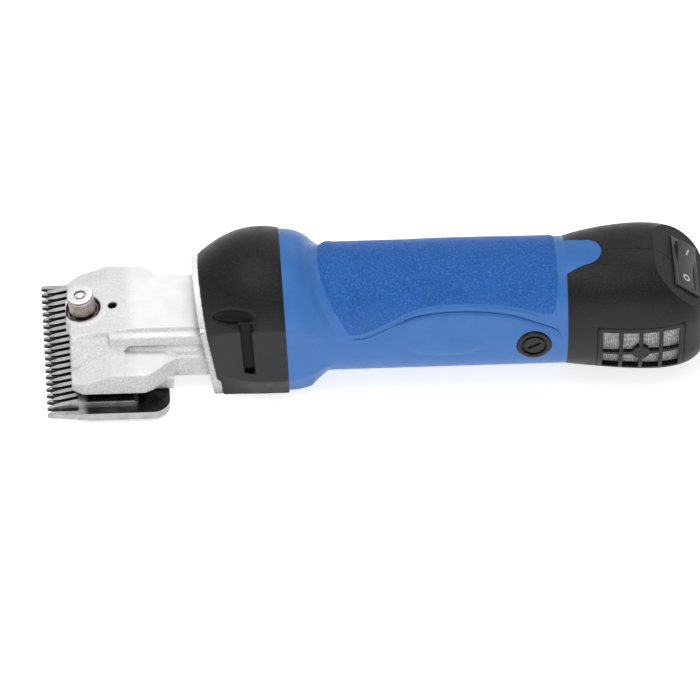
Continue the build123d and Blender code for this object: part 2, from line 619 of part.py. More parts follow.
# ------------------------------------------------------------------ motor casing
def grip_panel():
    """Raised grained panel over the top of the grip, with a waved edge along each side."""
    edge = Spline(*PANEL_EDGE)
    front = PANEL_EDGE[0]
    rear = PANEL_EDGE[-1]
    other_edge = mirror(edge, Plane.XZ)
    outline = edge + Line(rear, (rear[0], -rear[1])) + other_edge + Line((front[0], -front[1]), front)
    skin = rod(front[0] - 1, rear[0] + 1, GRIP_RADIUS + PANEL_RISE)
    skin -= rod(0, TOTAL_LENGTH, GRIP_RADIUS - 1)
    return skin & extrude(make_face(outline), 2 * GRIP_RADIUS)


def thumb_pads():
    """Raised oval on each side of the grip."""
    oval = Plane.XZ * Pos(PAD_X, PAD_Z) * Ellipse(PAD_HALF_LENGTH, PAD_HALF_HEIGHT)
    skin = rod(PAD_X - 2 * PAD_HALF_LENGTH, PAD_X + 2 * PAD_HALF_LENGTH, GRIP_RADIUS + PANEL_RISE)
    skin -= rod(0, TOTAL_LENGTH, GRIP_RADIUS - 1)
    return skin & extrude(oval, 2 * GRIP_RADIUS, both=True)


def casing_loft(stations):
    return loft([housing_section(SEAM_X + behind, *sizes) for behind, *sizes in stations])


def make_motor_casing():
    casing = casing_loft(BELL_STATIONS) + casing_loft(SHOULDER_STATIONS)
    casing += rod(SEAM_X + BELL_STATIONS[1][0], CASING_END, GRIP_RADIUS)
    casing += grip_panel() + thumb_pads()
    casing += (cover_solid(0) - cover_solid(COVER_WALL)) & tongue_cutter(0)
    casing -= rod(SEAM_X - GRIP_RADIUS, REAR_WALL_X, CASING_BORE)
    casing -= rod(REAR_BEARING_X, CASING_END + 1, BEARING_RADIUS)
    casing -= rod(REAR_WALL_X - 1, CASING_END + 1, BEARING_RADIUS - 2)
    for i in range(AIR_HOLES):
        a = 2 * math.pi * (i + 0.5) / AIR_HOLES
        casing -= rod(REAR_WALL_X - 1, CASING_END + 1, AIR_HOLE_RADIUS,
                      AIR_HOLE_CIRCLE * math.sin(a), AIR_HOLE_CIRCLE * math.cos(a))
    casing -= Pos(BRUSH_X, 0, 0) * Rot(90, 0, 0) * Cylinder(BRUSH_CAP_RADIUS + FIT, 3 * GRIP_RADIUS)
    return casing


# ------------------------------------------------------------------ motor
def make_armature_shaft():
    shaft = rod(PINION_X + PINION_WIDTH, REAR_BEARING_X + BEARING_WIDTH, SHAFT_RADIUS)
    pinion = gear_blank(PINION_TEETH, PINION_WIDTH)
    shaft += Plane(origin=(PINION_X, 0, 0), x_dir=(0, 0, -1), z_dir=(1, 0, 0)) * pinion
    return shaft


def make_armature_core():
    core = ring(STATOR_X, STATOR_X + STATOR_LENGTH, ARMATURE_RADIUS, SHAFT_RADIUS)
    for i in range(12):
        a = math.radians(30 * i)
        core -= rod(STATOR_X - 1, STATOR_X + STATOR_LENGTH + 1, 1.6,
                    (ARMATURE_RADIUS - 1) * math.sin(a), (ARMATURE_RADIUS - 1) * math.cos(a))
    return core


def make_armature_windings():
    end = STATOR_X + STATOR_LENGTH
    front = ring(STATOR_X - WINDING_OVERHANG, STATOR_X, ARMATURE_RADIUS - 3, SHAFT_RADIUS)
    rear = ring(end, end + WINDING_OVERHANG, ARMATURE_RADIUS - 3, SHAFT_RADIUS)
    front = fillet(front.edges().group_by(Axis.X)[0].sort_by(SortBy.RADIUS)[-1], 3)
    rear = fillet(rear.edges().group_by(Axis.X)[-1].sort_by(SortBy.RADIUS)[-1], 3)
    return group([front, rear])


def make_commutator():
    com = ring(COMMUTATOR_X, COMMUTATOR_X + COMMUTATOR_LENGTH, COMMUTATOR_RADIUS, SHAFT_RADIUS)
    com += ring(COMMUTATOR_X - 2, COMMUTATOR_X, COMMUTATOR_RADIUS + 1.5, SHAFT_RADIUS)
    return com


def make_fan():
    fan = ring(FAN_X, FAN_X + FAN_WIDTH, 7.0, SHAFT_RADIUS)
    fan += ring(FAN_X + FAN_WIDTH - 1.5, FAN_X + FAN_WIDTH, FAN_RADIUS, SHAFT_RADIUS)
    for i in range(FAN_BLADES):
        blade = block(FAN_X, FAN_X + FAN_WIDTH - 1, -0.7, 0.7, 6, FAN_RADIUS - 0.3)
        fan += Rot(360.0 * i / FAN_BLADES, 0, 0) * blade
    return fan


def make_stator_core():
    stator = ring(STATOR_X, STATOR_X + STATOR_LENGTH, CASING_BORE, STATOR_BORE)
    window = block(STATOR_X - 1, STATOR_X + STATOR_LENGTH + 1, WINDOW_INNER, WINDOW_OUTER,
                   -WINDOW_HALF_HEIGHT, WINDOW_HALF_HEIGHT)
    for part in both_sides(window):
        stator -= part
    return stator


def make_field_windings():
    """Two coils: a bundle in each side window, and the end turns that join them."""
    gap = 0.25
    height = WINDOW_HALF_HEIGHT - 2 * gap
    coil = block(STATOR_X - WINDING_OVERHANG, STATOR_X + STATOR_LENGTH + WINDING_OVERHANG,
                 WINDOW_INNER + gap, WINDOW_OUTER - gap, -height, height)
    return group(both_sides(fillet(coil.edges().filter_by(Axis.Y), 3.0)))


# ------------------------------------------------------------------ brush gear
def brush_axis(y0, y1, width, depth):
    return block(BRUSH_X - width / 2, BRUSH_X + width / 2, y0, y1, -depth / 2, depth / 2)


def make_brush_parts():
    """Holder, brush, spring and cap of the near side; the other side mirrors them."""
    tip = COMMUTATOR_RADIUS + LOOSE
    cap_inner = GRIP_RADIUS - BRUSH_CAP_THICKNESS + 0.4
    barrel = Cylinder(BRUSH_CAP_RADIUS - 0.6, cap_inner - 13)
    holder = Pos(BRUSH_X, -(cap_inner + 13) / 2, 0) * Rot(90, 0, 0) * barrel
    holder -= brush_axis(-40, 0, BRUSH_WIDTH + 0.2, BRUSH_DEPTH + 0.2)
    brush = brush_axis(-19.5, -tip, BRUSH_WIDTH, BRUSH_DEPTH)
    brush = brush - Pos(BRUSH_X, 0, 0) * rod(-20, 20, tip)
    spring = brush_axis(-cap_inner + 0.2, -19.5, 3.6, 3.6)
    cap = Pos(BRUSH_X, -(cap_inner + BRUSH_CAP_THICKNESS / 2), 0) * Rot(90, 0, 0) * Cylinder(
        BRUSH_CAP_RADIUS, BRUSH_CAP_THICKNESS)
    top = -(cap_inner + BRUSH_CAP_THICKNESS)
    cap = chamfer(cap.edges().group_by(Axis.Y)[0], 0.7)
    cap -= Pos(BRUSH_X, top, 0) * Rot(0, 45, 0) * Box(9, 2.4, 1.6)
    return holder, brush, spring, cap


# ------------------------------------------------------------------ rear cover
def cover_section(x, half_width, top, bottom, radius):
    height = top + bottom
    shape = RectangleRounded(2 * half_width, height, radius)
    return across(x) * Pos(0, (top - bottom) / 2) * shape


def cover_solid(inset):
    """Outer form of the rear cover, or the form inset from it."""
    grip = GRIP_RADIUS - inset
    length = COVER_END - CASING_END
    start = CASING_END - (1 if inset else 0)
    sections = [cover_section(start, grip, grip, grip, grip - COVER_START_RADIUS)]
    for share, half_width, top, bottom, radius in COVER_STATIONS:
        x = CASING_END + share * length
        if share == 1.0:
            x -= inset
        sections.append(cover_section(x, half_width - inset, top - inset, bottom - inset, radius - inset))
    return loft(sections)


def tongue_cutter(clearance):
    """Plan outline of the casing's tongue, for the tongue itself and for its notch in the cover."""
    base = TONGUE_BASE + clearance
    width = TONGUE_WIDTH + clearance
    tip = TONGUE_TIP + clearance
    outline = (
        Line((CASING_END - 2, base), (tip - width, width))
        + ThreePointArc((tip - width, width), (tip, 0), (tip - width, -width))
        + Line((tip - width, -width), (CASING_END - 2, -base))
        + Line((CASING_END - 2, -base), (CASING_END - 2, base)))
    return extrude(Plane.XY.offset(15) * make_face(outline), 30)


def switch_plane():
    """The sloping face behind the cover's shoulder, where the switch sits."""
    a = math.radians(SWITCH_SLOPE)
    return Plane(origin=(SWITCH_X, 0, SWITCH_Z), x_dir=(0, 1, 0), z_dir=(math.sin(a), 0, math.cos(a)))


def make_rear_cover():
    cover = cover_solid(0) - cover_solid(COVER_WALL)
    face = switch_plane()
    cover -= face * Pos(0, 0, 20) * Box(80, 80, 40)
    cover += (face * Pos(0, 0, -COVER_WALL / 2) * Box(60, 60, COVER_WALL)) & cover_solid(0)
    length, width = switch_size()
    cover -= face * Box(length + 2 * FIT, width + 2 * FIT, 20)
    cover -= rod(COVER_END - GLAND_DEPTH - 1, COVER_END + 1, GLAND_NECK_RADIUS, GLAND_Z)
    cover -= tongue_cutter(0.15)
    for part in both_sides(filter_box(0.1)):
        cover -= part
    return cover


def filter_box(clearance):
    c = clearance
    box = block(FILTER_X - c, FILTER_X + FILTER_LENGTH + c, -40, -14, FILTER_BOTTOM - c, FILTER_TOP + c)
    return fillet(box.edges().filter_by(Axis.Y), 2.5)


def make_filter_cover():
    """Snap-in grille of one side: a frame, columns of windows in two rows, and a hub."""
    skin = filter_box(0) & (cover_solid(0) - cover_solid(COVER_WALL - 0.6))
    border = 2.2
    bar = 1.6
    pitch = (FILTER_LENGTH - 2 * border + bar) / FILTER_COLUMNS
    height = (FILTER_TOP - FILTER_BOTTOM - 2 * border - bar) / 2
    hub_x = FILTER_X + FILTER_LENGTH / 2
    hub_z = (FILTER_TOP + FILTER_BOTTOM) / 2
    hub = Pos(hub_x, -20, hub_z) * Rot(90, 0, 0) * Cylinder(3.8, 40)
    for i in range(FILTER_COLUMNS):
        for j in range(2):
            x = FILTER_X + border + i * pitch
            z = FILTER_BOTTOM + border + j * (height + bar)
            skin -= block(x, x + pitch - bar, -50, -10, z, z + height) - hub
    return skin


def rocker_pivot(radius, reach):
    """Pins on the rocker's pivot axis, reach beyond each of its sides."""
    return Pos(0, 0, -PIVOT_DEPTH) * Rot(90, 0, 0) * Cylinder(radius, ROCKER_WIDTH + 2 * reach)


def switch_size():
    """Length and width of the switch body under its rim."""
    length = ROCKER_LENGTH + 2 * (ROCKER_GAP + SWITCH_WALL)
    width = ROCKER_WIDTH + 2 * (ROCKER_SIDE_GAP + SWITCH_WALL)
    return length, width


def make_switch_body():
    length, width = switch_size()
    rim = 2 * SWITCH_RIM_WIDTH
    body = Pos(0, 0, -SWITCH_DEPTH / 2) * Box(length, width, SWITCH_DEPTH)
    body += Pos(0, 0, SWITCH_RIM / 2) * Box(length + rim, width + rim, SWITCH_RIM)
    body -= Box(length - 2 * SWITCH_WALL, width - 2 * SWITCH_WALL, 2 * SWITCH_WELL)
    body -= rocker_pivot(PIVOT_RADIUS + FIT, ROCKER_SIDE_GAP + PIVOT_REACH)
    return switch_plane() * body


def make_rocker():
    """Shallow V seen from the front: one wing stands proud while the other is pressed flat."""
    half = ROCKER_LENGTH / 2
    rise = half * math.tan(math.radians(ROCKER_TILT))
    rocker = side_slab([
        (-half, -ROCKER_DEPTH), (half, -ROCKER_DEPTH), (half, ROCKER_PROUD + rise), (0, ROCKER_PROUD),
        (-half, ROCKER_PROUD + rise)], ROCKER_WIDTH / 2)
    rocker += rocker_pivot(PIVOT_RADIUS, ROCKER_SIDE_GAP + PIVOT_REACH - FIT)
    tilted = Pos(0, 0, -PIVOT_DEPTH) * Rot(0, -ROCKER_TILT, 0) * Pos(0, 0, PIVOT_DEPTH) * rocker
    return switch_plane() * tilted


def make_cord_gland():
    gland = rod(COVER_END - GLAND_DEPTH, COVER_END, GLAND_NECK_RADIUS - 2 * FIT, GLAND_Z)
    gland += rod(COVER_END, COVER_END + GLAND_LENGTH, GLAND_RADIUS, GLAND_Z)
    return gland - rod(COVER_END - 2 * GLAND_DEPTH, TOTAL_LENGTH + 1, CORD_HOLE_RADIUS, GLAND_Z)


# ------------------------------------------------------------------ assembly
def make_parts():
    parts = {
        "comb": make_comb(),
        "comb_screws": make_comb_screws(),
        "cutter": make_cutter(),
        "head_casting": make_head(),
        "head_screws": make_head_screws(),
        "fork_lever": make_fork_lever(),
        "fulcrum_post": make_fulcrum_post(),
        "fulcrum_washer": make_fulcrum_washer(),
        "tension_knob": make_tension_knob(),
        "tension_sleeve": make_tension_sleeve(),
        "tension_pin": make_tension_pin(),
        "tension_spring": make_tension_spring(),
        "drive_gear": make_drive_gear(),
        "crank_shaft": make_crank_shaft(),
        "crank_roller": make_crank_roller(),
        "gear_housing": make_gear_housing(),
        "bearing_plate": make_bearing_plate(),
        "motor_casing": make_motor_casing(),
        "armature_shaft": make_armature_shaft(),
        "armature_core": make_armature_core(),
        "armature_windings": make_armature_windings(),
        "commutator": make_commutator(),
        "cooling_fan": make_fan(),
        "stator_core": make_stator_core(),
        "field_windings": make_field_windings(),
        "rear_cover": make_rear_cover(),
        "switch_body": make_switch_body(),
        "switch_rocker": make_rocker(),
        "cord_gland": make_cord_gland(),
    }
    right, left = make_fork_fingers()
    parts["fork_finger_right"] = right
    parts["fork_finger_left"] = left
    front_outer, front_inner = bearing_rings(FRONT_BEARING_X, BEARING_WIDTH)
    rear_outer, rear_inner = bearing_rings(REAR_BEARING_X, BEARING_WIDTH)
    parts["armature_bearing_outer_rings"] = group([front_outer, rear_outer])
    parts["armature_bearing_inner_rings"] = group([front_inner, rear_inner])
    crank_outer, crank_inner = bearing_rings(CRANK_BEARING_X, BEARING_WIDTH, CRANK_AXIS_Z)
    tail_outer, tail_inner = bearing_rings(
        BEARING_PLATE_X, TAIL_BEARING_WIDTH, CRANK_AXIS_Z, TAIL_BEARING_RADIUS)
    parts["crank_bearing_outer_rings"] = group([crank_outer, tail_outer])
    parts["crank_bearing_inner_rings"] = group([crank_inner, tail_inner])
    names = ("brush_holder", "carbon_brush", "brush_spring", "brush_cap")
    for name, shape in zip(names, make_brush_parts()):
        for side, part in zip(("right", "left"), both_sides(shape)):
            parts[f"{name}_{side}"] = part
    for side, part in zip(("right", "left"), both_sides(make_filter_cover())):
        parts[f"filter_cover_{side}"] = part
    return parts


for node, shape in make_parts().items():
    export_step(place(shape), f"parts/{node}.step")
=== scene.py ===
import json
import math
from contextlib import contextmanager

import bmesh
import bpy
from mathutils import Matrix, Vector
from mathutils.bvhtree import BVHTree

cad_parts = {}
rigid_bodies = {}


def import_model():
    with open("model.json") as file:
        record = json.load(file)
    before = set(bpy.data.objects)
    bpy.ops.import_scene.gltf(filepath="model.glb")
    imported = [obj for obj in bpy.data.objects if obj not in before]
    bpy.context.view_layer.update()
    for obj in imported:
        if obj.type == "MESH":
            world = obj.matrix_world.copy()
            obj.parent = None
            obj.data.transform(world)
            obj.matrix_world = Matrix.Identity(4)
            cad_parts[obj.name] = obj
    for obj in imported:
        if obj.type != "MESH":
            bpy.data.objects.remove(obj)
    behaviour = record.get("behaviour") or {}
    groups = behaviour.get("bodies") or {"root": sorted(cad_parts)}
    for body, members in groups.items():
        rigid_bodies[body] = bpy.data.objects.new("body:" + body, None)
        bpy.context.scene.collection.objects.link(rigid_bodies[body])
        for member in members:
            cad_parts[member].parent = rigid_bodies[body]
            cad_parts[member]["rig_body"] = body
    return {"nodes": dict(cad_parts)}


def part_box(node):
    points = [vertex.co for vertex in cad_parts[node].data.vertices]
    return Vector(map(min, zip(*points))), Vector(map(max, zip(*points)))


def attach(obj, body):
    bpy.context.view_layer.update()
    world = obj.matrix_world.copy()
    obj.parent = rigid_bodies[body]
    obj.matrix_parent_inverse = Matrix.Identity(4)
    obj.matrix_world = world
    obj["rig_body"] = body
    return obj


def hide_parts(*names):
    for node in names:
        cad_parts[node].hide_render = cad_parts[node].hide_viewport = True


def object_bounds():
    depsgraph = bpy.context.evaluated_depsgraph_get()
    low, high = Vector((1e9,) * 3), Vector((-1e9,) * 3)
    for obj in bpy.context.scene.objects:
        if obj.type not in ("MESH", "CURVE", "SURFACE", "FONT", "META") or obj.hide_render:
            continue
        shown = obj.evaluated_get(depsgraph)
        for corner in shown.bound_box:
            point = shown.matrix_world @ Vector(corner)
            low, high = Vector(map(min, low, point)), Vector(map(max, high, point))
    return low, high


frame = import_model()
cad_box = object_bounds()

bl_info = {
    "name": "Sheep shears finish",
    "version": (1, 0, 0),
    "blender": (4, 5, 0),
    "location": "View3D > Sidebar > Shears",
    "description": "Finishes the electric sheep shears: cast head, blades, moulded casings and small parts",
    "category": "Object",
}

MM = 0.001
NODES = frame["nodes"]
LENGTH = cad_box[1].x - cad_box[0].x
TIPS = cad_box[0].x                     # the comb's points
CAP_LOW, CAP_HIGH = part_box("brush_cap_right")
KNOB_LOW, KNOB_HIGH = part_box("tension_knob")
FILTER_LOW, FILTER_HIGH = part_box("filter_cover_right")
SIDES = ((-1, "right"), (1, "left"))    # each side's way along Y, and its name
AXIS_Z = (CAP_LOW.z + CAP_HIGH.z) / 2   # the motor's axis runs along X at this height
AXIS = Vector((0, 0, AXIS_Z))
CAP_X = (CAP_LOW.x + CAP_HIGH.x) / 2
CAP_RADIUS = (CAP_HIGH.x - CAP_LOW.x) / 2
KNOB_LEAN = math.radians(9.5)
KNOB_AXIS = Vector((-math.sin(KNOB_LEAN), 0, math.cos(KNOB_LEAN)))
KNOB_SEAT = (KNOB_LOW.x + KNOB_HIGH.x) / 2 + 0.8 * MM
KNOB_RECESS = 7.9 * MM
TOOTH_ROOT = 15.0                       # distances along the tool are in mm behind the comb's points
OIL_HOLE_X = 30.0
OIL_HOLE_RADIUS = 2.1 * MM
NECK_FRONT = 35.0                       # the rubbed neck starts between these two
NECK_REAR = 41.0
POCKET_X = 82.0                         # long pocket over the casing screw, on each shoulder of the housing
POCKET_ANGLE = 50.5
POCKET_HALF_LENGTH = 9.2
POCKET_HALF_HEIGHT = 3.4
POCKET_DEPTH = 3.2
SLOT_X = 88.1                           # cooling slot in each cheek of the gear housing
SLOT_Z = 4.0 * MM                       # its middle, over the motor axis
SLOT_HALF = 13.5 * MM                   # half its height
SLOT_EDGE = 2.6 * MM                    # half its width, out to the start of its rounded edge
SLOT_LEAN = math.tan(math.radians(4.5))
SEAM_LEAN = math.radians(3.3)
SWITCH_SLOPE = math.radians(40)


def on_tool(x):
    """Place along the tool, from its distance in millimetres behind the comb's points."""
    return TIPS + x * MM


# ------------------------------------------------------------------ settings
def colour_setting(name, description, default):
    return bpy.props.FloatVectorProperty(
        name=name, description=description, subtype="COLOR", size=3, min=0, max=1, default=default)


def size_setting(name, description, default, lowest=0):
    return bpy.props.FloatProperty(
        name=name, description=description, subtype="DISTANCE", unit="LENGTH", default=default,
        min=lowest, precision=5)


def angle_setting(name, description, degrees):
    return bpy.props.FloatProperty(
        name=name, description=description, subtype="ANGLE", default=math.radians(degrees))


def power_setting(name, description, default):
    return bpy.props.FloatProperty(
        name=name, description=description, subtype="POWER", default=default, min=0)


class ShearsColours(bpy.types.PropertyGroup):
    """Colours of the shears' finishes"""
    grip: colour_setting("Grip panel", "Grained blue on top of the motor casing", (0.016, 0.105, 0.375))
    casing: colour_setting("Casing", "Smooth blue of the motor casing", (0.042, 0.160, 0.455))
    housing: colour_setting("Black parts", "Black of the gear housing and rear cover", (0.007, 0.007, 0.008))
    casting: colour_setting("Casting", "Rubbed top of the head casting", (0.95, 0.95, 0.955))
    # the rough colour also paints shade: every face of the head that does not look up takes it
    rough_and_shaded_casting: colour_setting("Rough casting", "Sides of the head casting, as cast", (0.72, 0.71, 0.72))
    blade: colour_setting("Blades", "Ground edges of the comb and cutter", (0.42, 0.42, 0.425))
    # painted shade and dark reflection on the comb's and cutter's faces between and behind the teeth
    oiled: colour_setting("Oiled steel", "Dark faces of the comb and cutter", (0.030, 0.030, 0.032))
    knob: colour_setting("Knob", "Bright face of the tension knob", (0.88, 0.85, 0.85))
    knob_side: colour_setting("Knob side", "Ribbed side of the tension knob", (0.34, 0.28, 0.26))
    gauze: colour_setting("Filter gauze", "Steel gauze behind the air windows", (0.95, 0.95, 0.94))


class ShearsSizes(bpy.types.PropertyGroup):
    """Sizes of the forms that the finish adds"""
    panel_rise: size_setting("Panel rise", "Height of the grained grip panel over the casing", 0.5 * MM)
    lip_rise: size_setting("Lip rise", "Height of the rolled lip along the grip panel", 0.85 * MM)
    groove_depth: size_setting("Groove depth", "Depth of the groove under the lip", 0.9 * MM)
    groove_width: size_setting("Groove width", "Width of the groove under the lip", 1.1 * MM)
    valley_depth: size_setting("Valley depth", "Depth of the thumb valley behind the bell", 1.3 * MM)
    pad_rise: size_setting("Thumb pad rise", "Height of the oval thumb pads", 0.8 * MM)
    casing_wall: size_setting("Casing wall", "Thickness of the motor casing", 2.6 * MM)
    spring_wire: size_setting("Spring wire", "Thickness of the knob spring's wire", 1.1 * MM)
    gauze_pitch: size_setting("Gauze pitch", "Distance between the gauze's wires", 0.9 * MM)


class ShearsStage(bpy.types.PropertyGroup):
    """Camera and light round the shears"""
    azimuth: angle_setting("Azimuth", "Camera's turn round the upright axis", -4.0)
    elevation: angle_setting("Elevation", "Camera's height above the horizon", 45.6)
    roll: angle_setting("Roll", "Camera's turn about its line of sight", 1.1)
    distance: size_setting("Distance", "From the camera to the tool", 5.0)
    width_seen: size_setting("Width seen", "Width of the view at the tool", 0.308)
    aim_x: size_setting("Aim along", "Middle of the view along the tool", -0.013, -1)
    aim_drop: size_setting("Aim drop", "How far the view's middle lies below the motor axis", 0.0196)
    light: power_setting("Key light", "Power of the large lamp overhead", 4.5)
    fill: power_setting("Fill light", "Power of the low lamp beside the camera", 3.0)


# ------------------------------------------------------------------ node trees
class Nodes:
    """A node tree, built with short calls."""

    def __init__(self, tree):
        self.tree = tree
        tree.nodes.clear()

    def node(self, kind, inputs=(), **settings):
        made = self.tree.nodes.new("ShaderNode" + kind)
        for key, value in settings.items():
            setattr(made, key, value)
        for key, value in dict(inputs).items():
            self.feed(made.inputs[key], value)
        return made

    def feed(self, socket, value):
        if isinstance(value, bpy.types.NodeSocket):
            self.tree.links.new(value, socket)
        else:
            socket.default_value = value

    def span(self, value, low, high, new_low=0.0, new_high=1.0):
        return self.node("MapRange", {
            "Value": value, "From Min": low, "From Max": high, "To Min": new_low,
            "To Max": new_high}).outputs["Result"]

    def maths(self, how, a, b=0.0):
        return self.node("Math", {0: a, 1: b}, operation=how).outputs[0]

    def times(self, a, b):
        return self.maths("MULTIPLY", a, b)

    def plus(self, a, b):
        return self.maths("ADD", a, b)

    def minus(self, a, b):
        return self.maths("SUBTRACT", a, b)

    def larger(self, a, b):
        return self.maths("MAXIMUM", a, b)

    def unsigned(self, a):
        return self.maths("ABSOLUTE", a)

    def squared(self, a):
        return self.maths("POWER", a, 2.0)

    def seen(self):
        """One for what the camera sees, also in metal and through glass, and zero for light."""
        path = self.node("LightPath").outputs
        through = self.larger(path["Is Glossy Ray"], path["Is Transmission Ray"])
        return self.larger(path["Is Camera Ray"], through)


class Shader(Nodes):
    """A material with one main shader."""

    def __init__(self, name, **sockets):
        self.material = bpy.data.materials.new(name)
        self.material.use_nodes = True
        super().__init__(self.material.node_tree)
        out = self.node("OutputMaterial")
        self.base = self.node("BsdfPrincipled")
        self.feed(out.inputs["Surface"], self.base.outputs[0])
        for key, value in sockets.items():
            self.base.inputs[key.replace("_", " ")].default_value = value
        coordinates = self.node("TexCoord")
        self.place = coordinates.outputs["Object"]
        self.facing = coordinates.outputs["Normal"]

    def parts(self, vector):
        """X, Y and Z of a vector, in metres for a place."""
        return self.node("SeparateXYZ", {"Vector": vector}).outputs

    def stretched(self, x, y, z):
        return self.node("Mapping", {"Vector": self.place, "Scale": (x, y, z)}).outputs[0]

    def noise(self, size, detail=3.0, rough=0.55, where=None):
        """Cloudy pattern whose marks are about size metres across."""
        return self.node("TexNoise", {
            "Vector": where or self.place, "Scale": 1.0 / size, "Detail": detail,
            "Roughness": rough}).outputs["Fac"]

    def cells(self, size):
        return self.node("TexVoronoi", {"Vector": self.place, "Scale": 1.0 / size}).outputs["Distance"]

    def blend(self, factor, a, b):
        made = self.node("Mix", {0: factor}, data_type="RGBA")
        self.feed(made.inputs["A"], rgba(a))
        self.feed(made.inputs["B"], rgba(b))
        return made.outputs["Result"]

    def colour(self, value):
        self.feed(self.base.inputs["Base Color"], rgba(value))

    def rough(self, value):
        self.feed(self.base.inputs["Roughness"], value)

    def specular(self, level):
        self.base.inputs["Specular IOR Level"].default_value = level

    def open_to_light(self, reach):
        """One on open surfaces, less in grooves and corners narrower than the reach."""
        return self.node("AmbientOcclusion", {"Distance": reach}, samples=8).outputs["AO"]

    def bump(self, height, depth, strength=1.0, under=None):
        inputs = {"Height": height, "Distance": depth, "Strength": strength}
        if under is not None:
            inputs["Normal"] = under
        made = self.node("Bump", inputs).outputs[0]
        self.feed(self.base.inputs["Normal"], made)
        return made


def rgba(value):
    if isinstance(value, bpy.types.NodeSocket) or len(value) == 4:
        return value
    return (*value, 1.0)


def shade(colour, factor, added=0.0):
    """A colour made lighter or darker."""
    return tuple(min(1.0, part * factor + added) for part in colour)


# ------------------------------------------------------------------ materials
def cast_aluminium(bright, rough_and_shaded_side):
    """Casting: bright where it is rubbed on top, grey and grainy as cast on its sides, where the grey also
    paints shade; painted shade in its grooves and corners, and painted black shade in its holes.
    """
    s = Shader("cast_aluminium", Metallic=0.05)
    along, across, height = s.parts(s.place)
    upright = s.parts(s.facing)[2]
    cloud = s.noise(9 * MM, 4)
    grain = s.noise(0.9 * MM, 3, 0.75)
    pits = s.cells(1.2 * MM)
    top = s.blend(s.span(cloud, 0.3, 0.7), shade(bright, 0.95), shade(bright, 1.05))
    side = s.blend(s.span(grain, 0.38, 0.62), shade(rough_and_shaded_side, 0.82), shade(rough_and_shaded_side, 1.15))
    # only the neck is rubbed bright; the head in front of it keeps its cast skin
    front = s.span(along, on_tool(NECK_REAR), on_tool(NECK_FRONT), 0.0, 0.55)
    top = s.blend(front, top, side)
    # painted shade, partly the real cast skin: faces that turn from looking up take the grey rough colour,
    # faces that look up the bright one
    tone = s.blend(s.span(upright, 0.45, 0.85), side, top)
    # painted black shade in the knob's recess and in the oiling hole, each a round place below a height
    dark = 0.0
    for middle, radius, high, low in (
            (KNOB_SEAT, KNOB_RECESS, KNOB_LOW.z + 0.3 * MM, KNOB_LOW.z - 0.7 * MM),
            (on_tool(OIL_HOLE_X), OIL_HOLE_RADIUS, AXIS_Z + 4.6 * MM, AXIS_Z + 3.6 * MM)):
        far = s.maths("SQRT", s.plus(s.squared(s.minus(along, middle)), s.squared(across)))
        inside = s.times(s.span(far, radius + 0.15 * MM, radius - 0.15 * MM), s.span(height, high, low))
        dark = s.larger(dark, inside)
    # painted shade: grooves and corners that open space cannot reach go dark grey
    painted_crevice_shade = s.blend(s.span(grain, 0.35, 0.6), (0.05, 0.05, 0.05), (0.26, 0.26, 0.265))
    tone = s.blend(s.span(s.open_to_light(5 * MM), 0.42, 0.82), painted_crevice_shade, tone)
    s.colour(s.blend(dark, tone, (0.012, 0.011, 0.010)))
    s.rough(s.span(s.noise(3 * MM, 3), 0.3, 0.7, 0.36, 0.52))
    under = s.bump(pits, 0.06 * MM, 0.5)
    s.bump(grain, 0.14 * MM, 0.8, under)
    return s.material


def ground_steel(name, colour, along, roughness):
    """Ground or polished steel with fine marks that run along one way."""
    s = Shader(name, Metallic=0.95)
    marks = s.noise(0.22 * MM, 3, 0.6, s.stretched(*along))
    film = s.noise(6 * MM, 3)
    s.colour(s.blend(s.span(film, 0.35, 0.7), shade(colour, 0.8), shade(colour, 1.1)))
    s.rough(s.span(marks, 0.3, 0.7, roughness - 0.08, roughness + 0.12))
    s.bump(marks, 0.02 * MM, 0.5)
    return s.material


def turned_steel(name, face, side):
    """Turned steel with a bright colour on faces that look up and a darker, browner one on its sides."""
    s = Shader(name, Metallic=0.35)
    upright = s.parts(s.facing)[2]
    marks = s.noise(0.3 * MM, 3, 0.6, s.stretched(1, 1, 0.15))
    film = s.noise(2.5 * MM, 3)
    side_tone = s.blend(s.span(film, 0.35, 0.65), shade(side, 0.7), shade(side, 1.25))
    s.colour(s.blend(s.span(upright, 0.35, 0.75), side_tone, face))
    s.rough(s.span(marks, 0.3, 0.7, 0.22, 0.40))
    s.bump(marks, 0.03 * MM, 0.5)
    return s.material


def blade_steel(name, bright, dark, root, half_width):
    """Blade steel: ground bright in front of the tooth roots, with painted shade and dark reflection behind
    and between the teeth.
    """
    s = Shader(name, Metallic=0.85)
    along, across, _ = s.parts(s.place)
    _, sideways, upright = s.parts(s.facing)
    wall = s.span(s.unsigned(sideways), 0.35, 0.75)
    wall = s.times(wall, s.span(s.unsigned(across), half_width - 0.6 * MM, half_width - 1.0 * MM))
    between = s.times(wall, s.span(along, root + 0.2 * MM, root - 0.4 * MM))
    level = s.span(s.unsigned(upright), 0.6, 0.9)
    behind = s.times(level, s.span(along, root + 1 * MM, root + 3 * MM))
    marks = s.noise(0.22 * MM, 3, 0.6, s.stretched(0.1, 1, 1))
    film = s.noise(5 * MM, 4, 0.6)
    steel = s.blend(s.span(film, 0.35, 0.7), shade(bright, 0.8), shade(bright, 1.15))
    painted_blade_shade = s.blend(s.span(film, 0.4, 0.75), shade(dark, 0.6), shade(dark, 2.0))
    # painted shade and dark reflection: the walls between the teeth and the flat faces behind their roots
    # take the dark colour
    s.colour(s.blend(s.larger(between, behind), steel, painted_blade_shade))
    s.rough(s.span(marks, 0.3, 0.7, 0.22, 0.40))
    s.bump(marks, 0.02 * MM, 0.5)
    return s.material


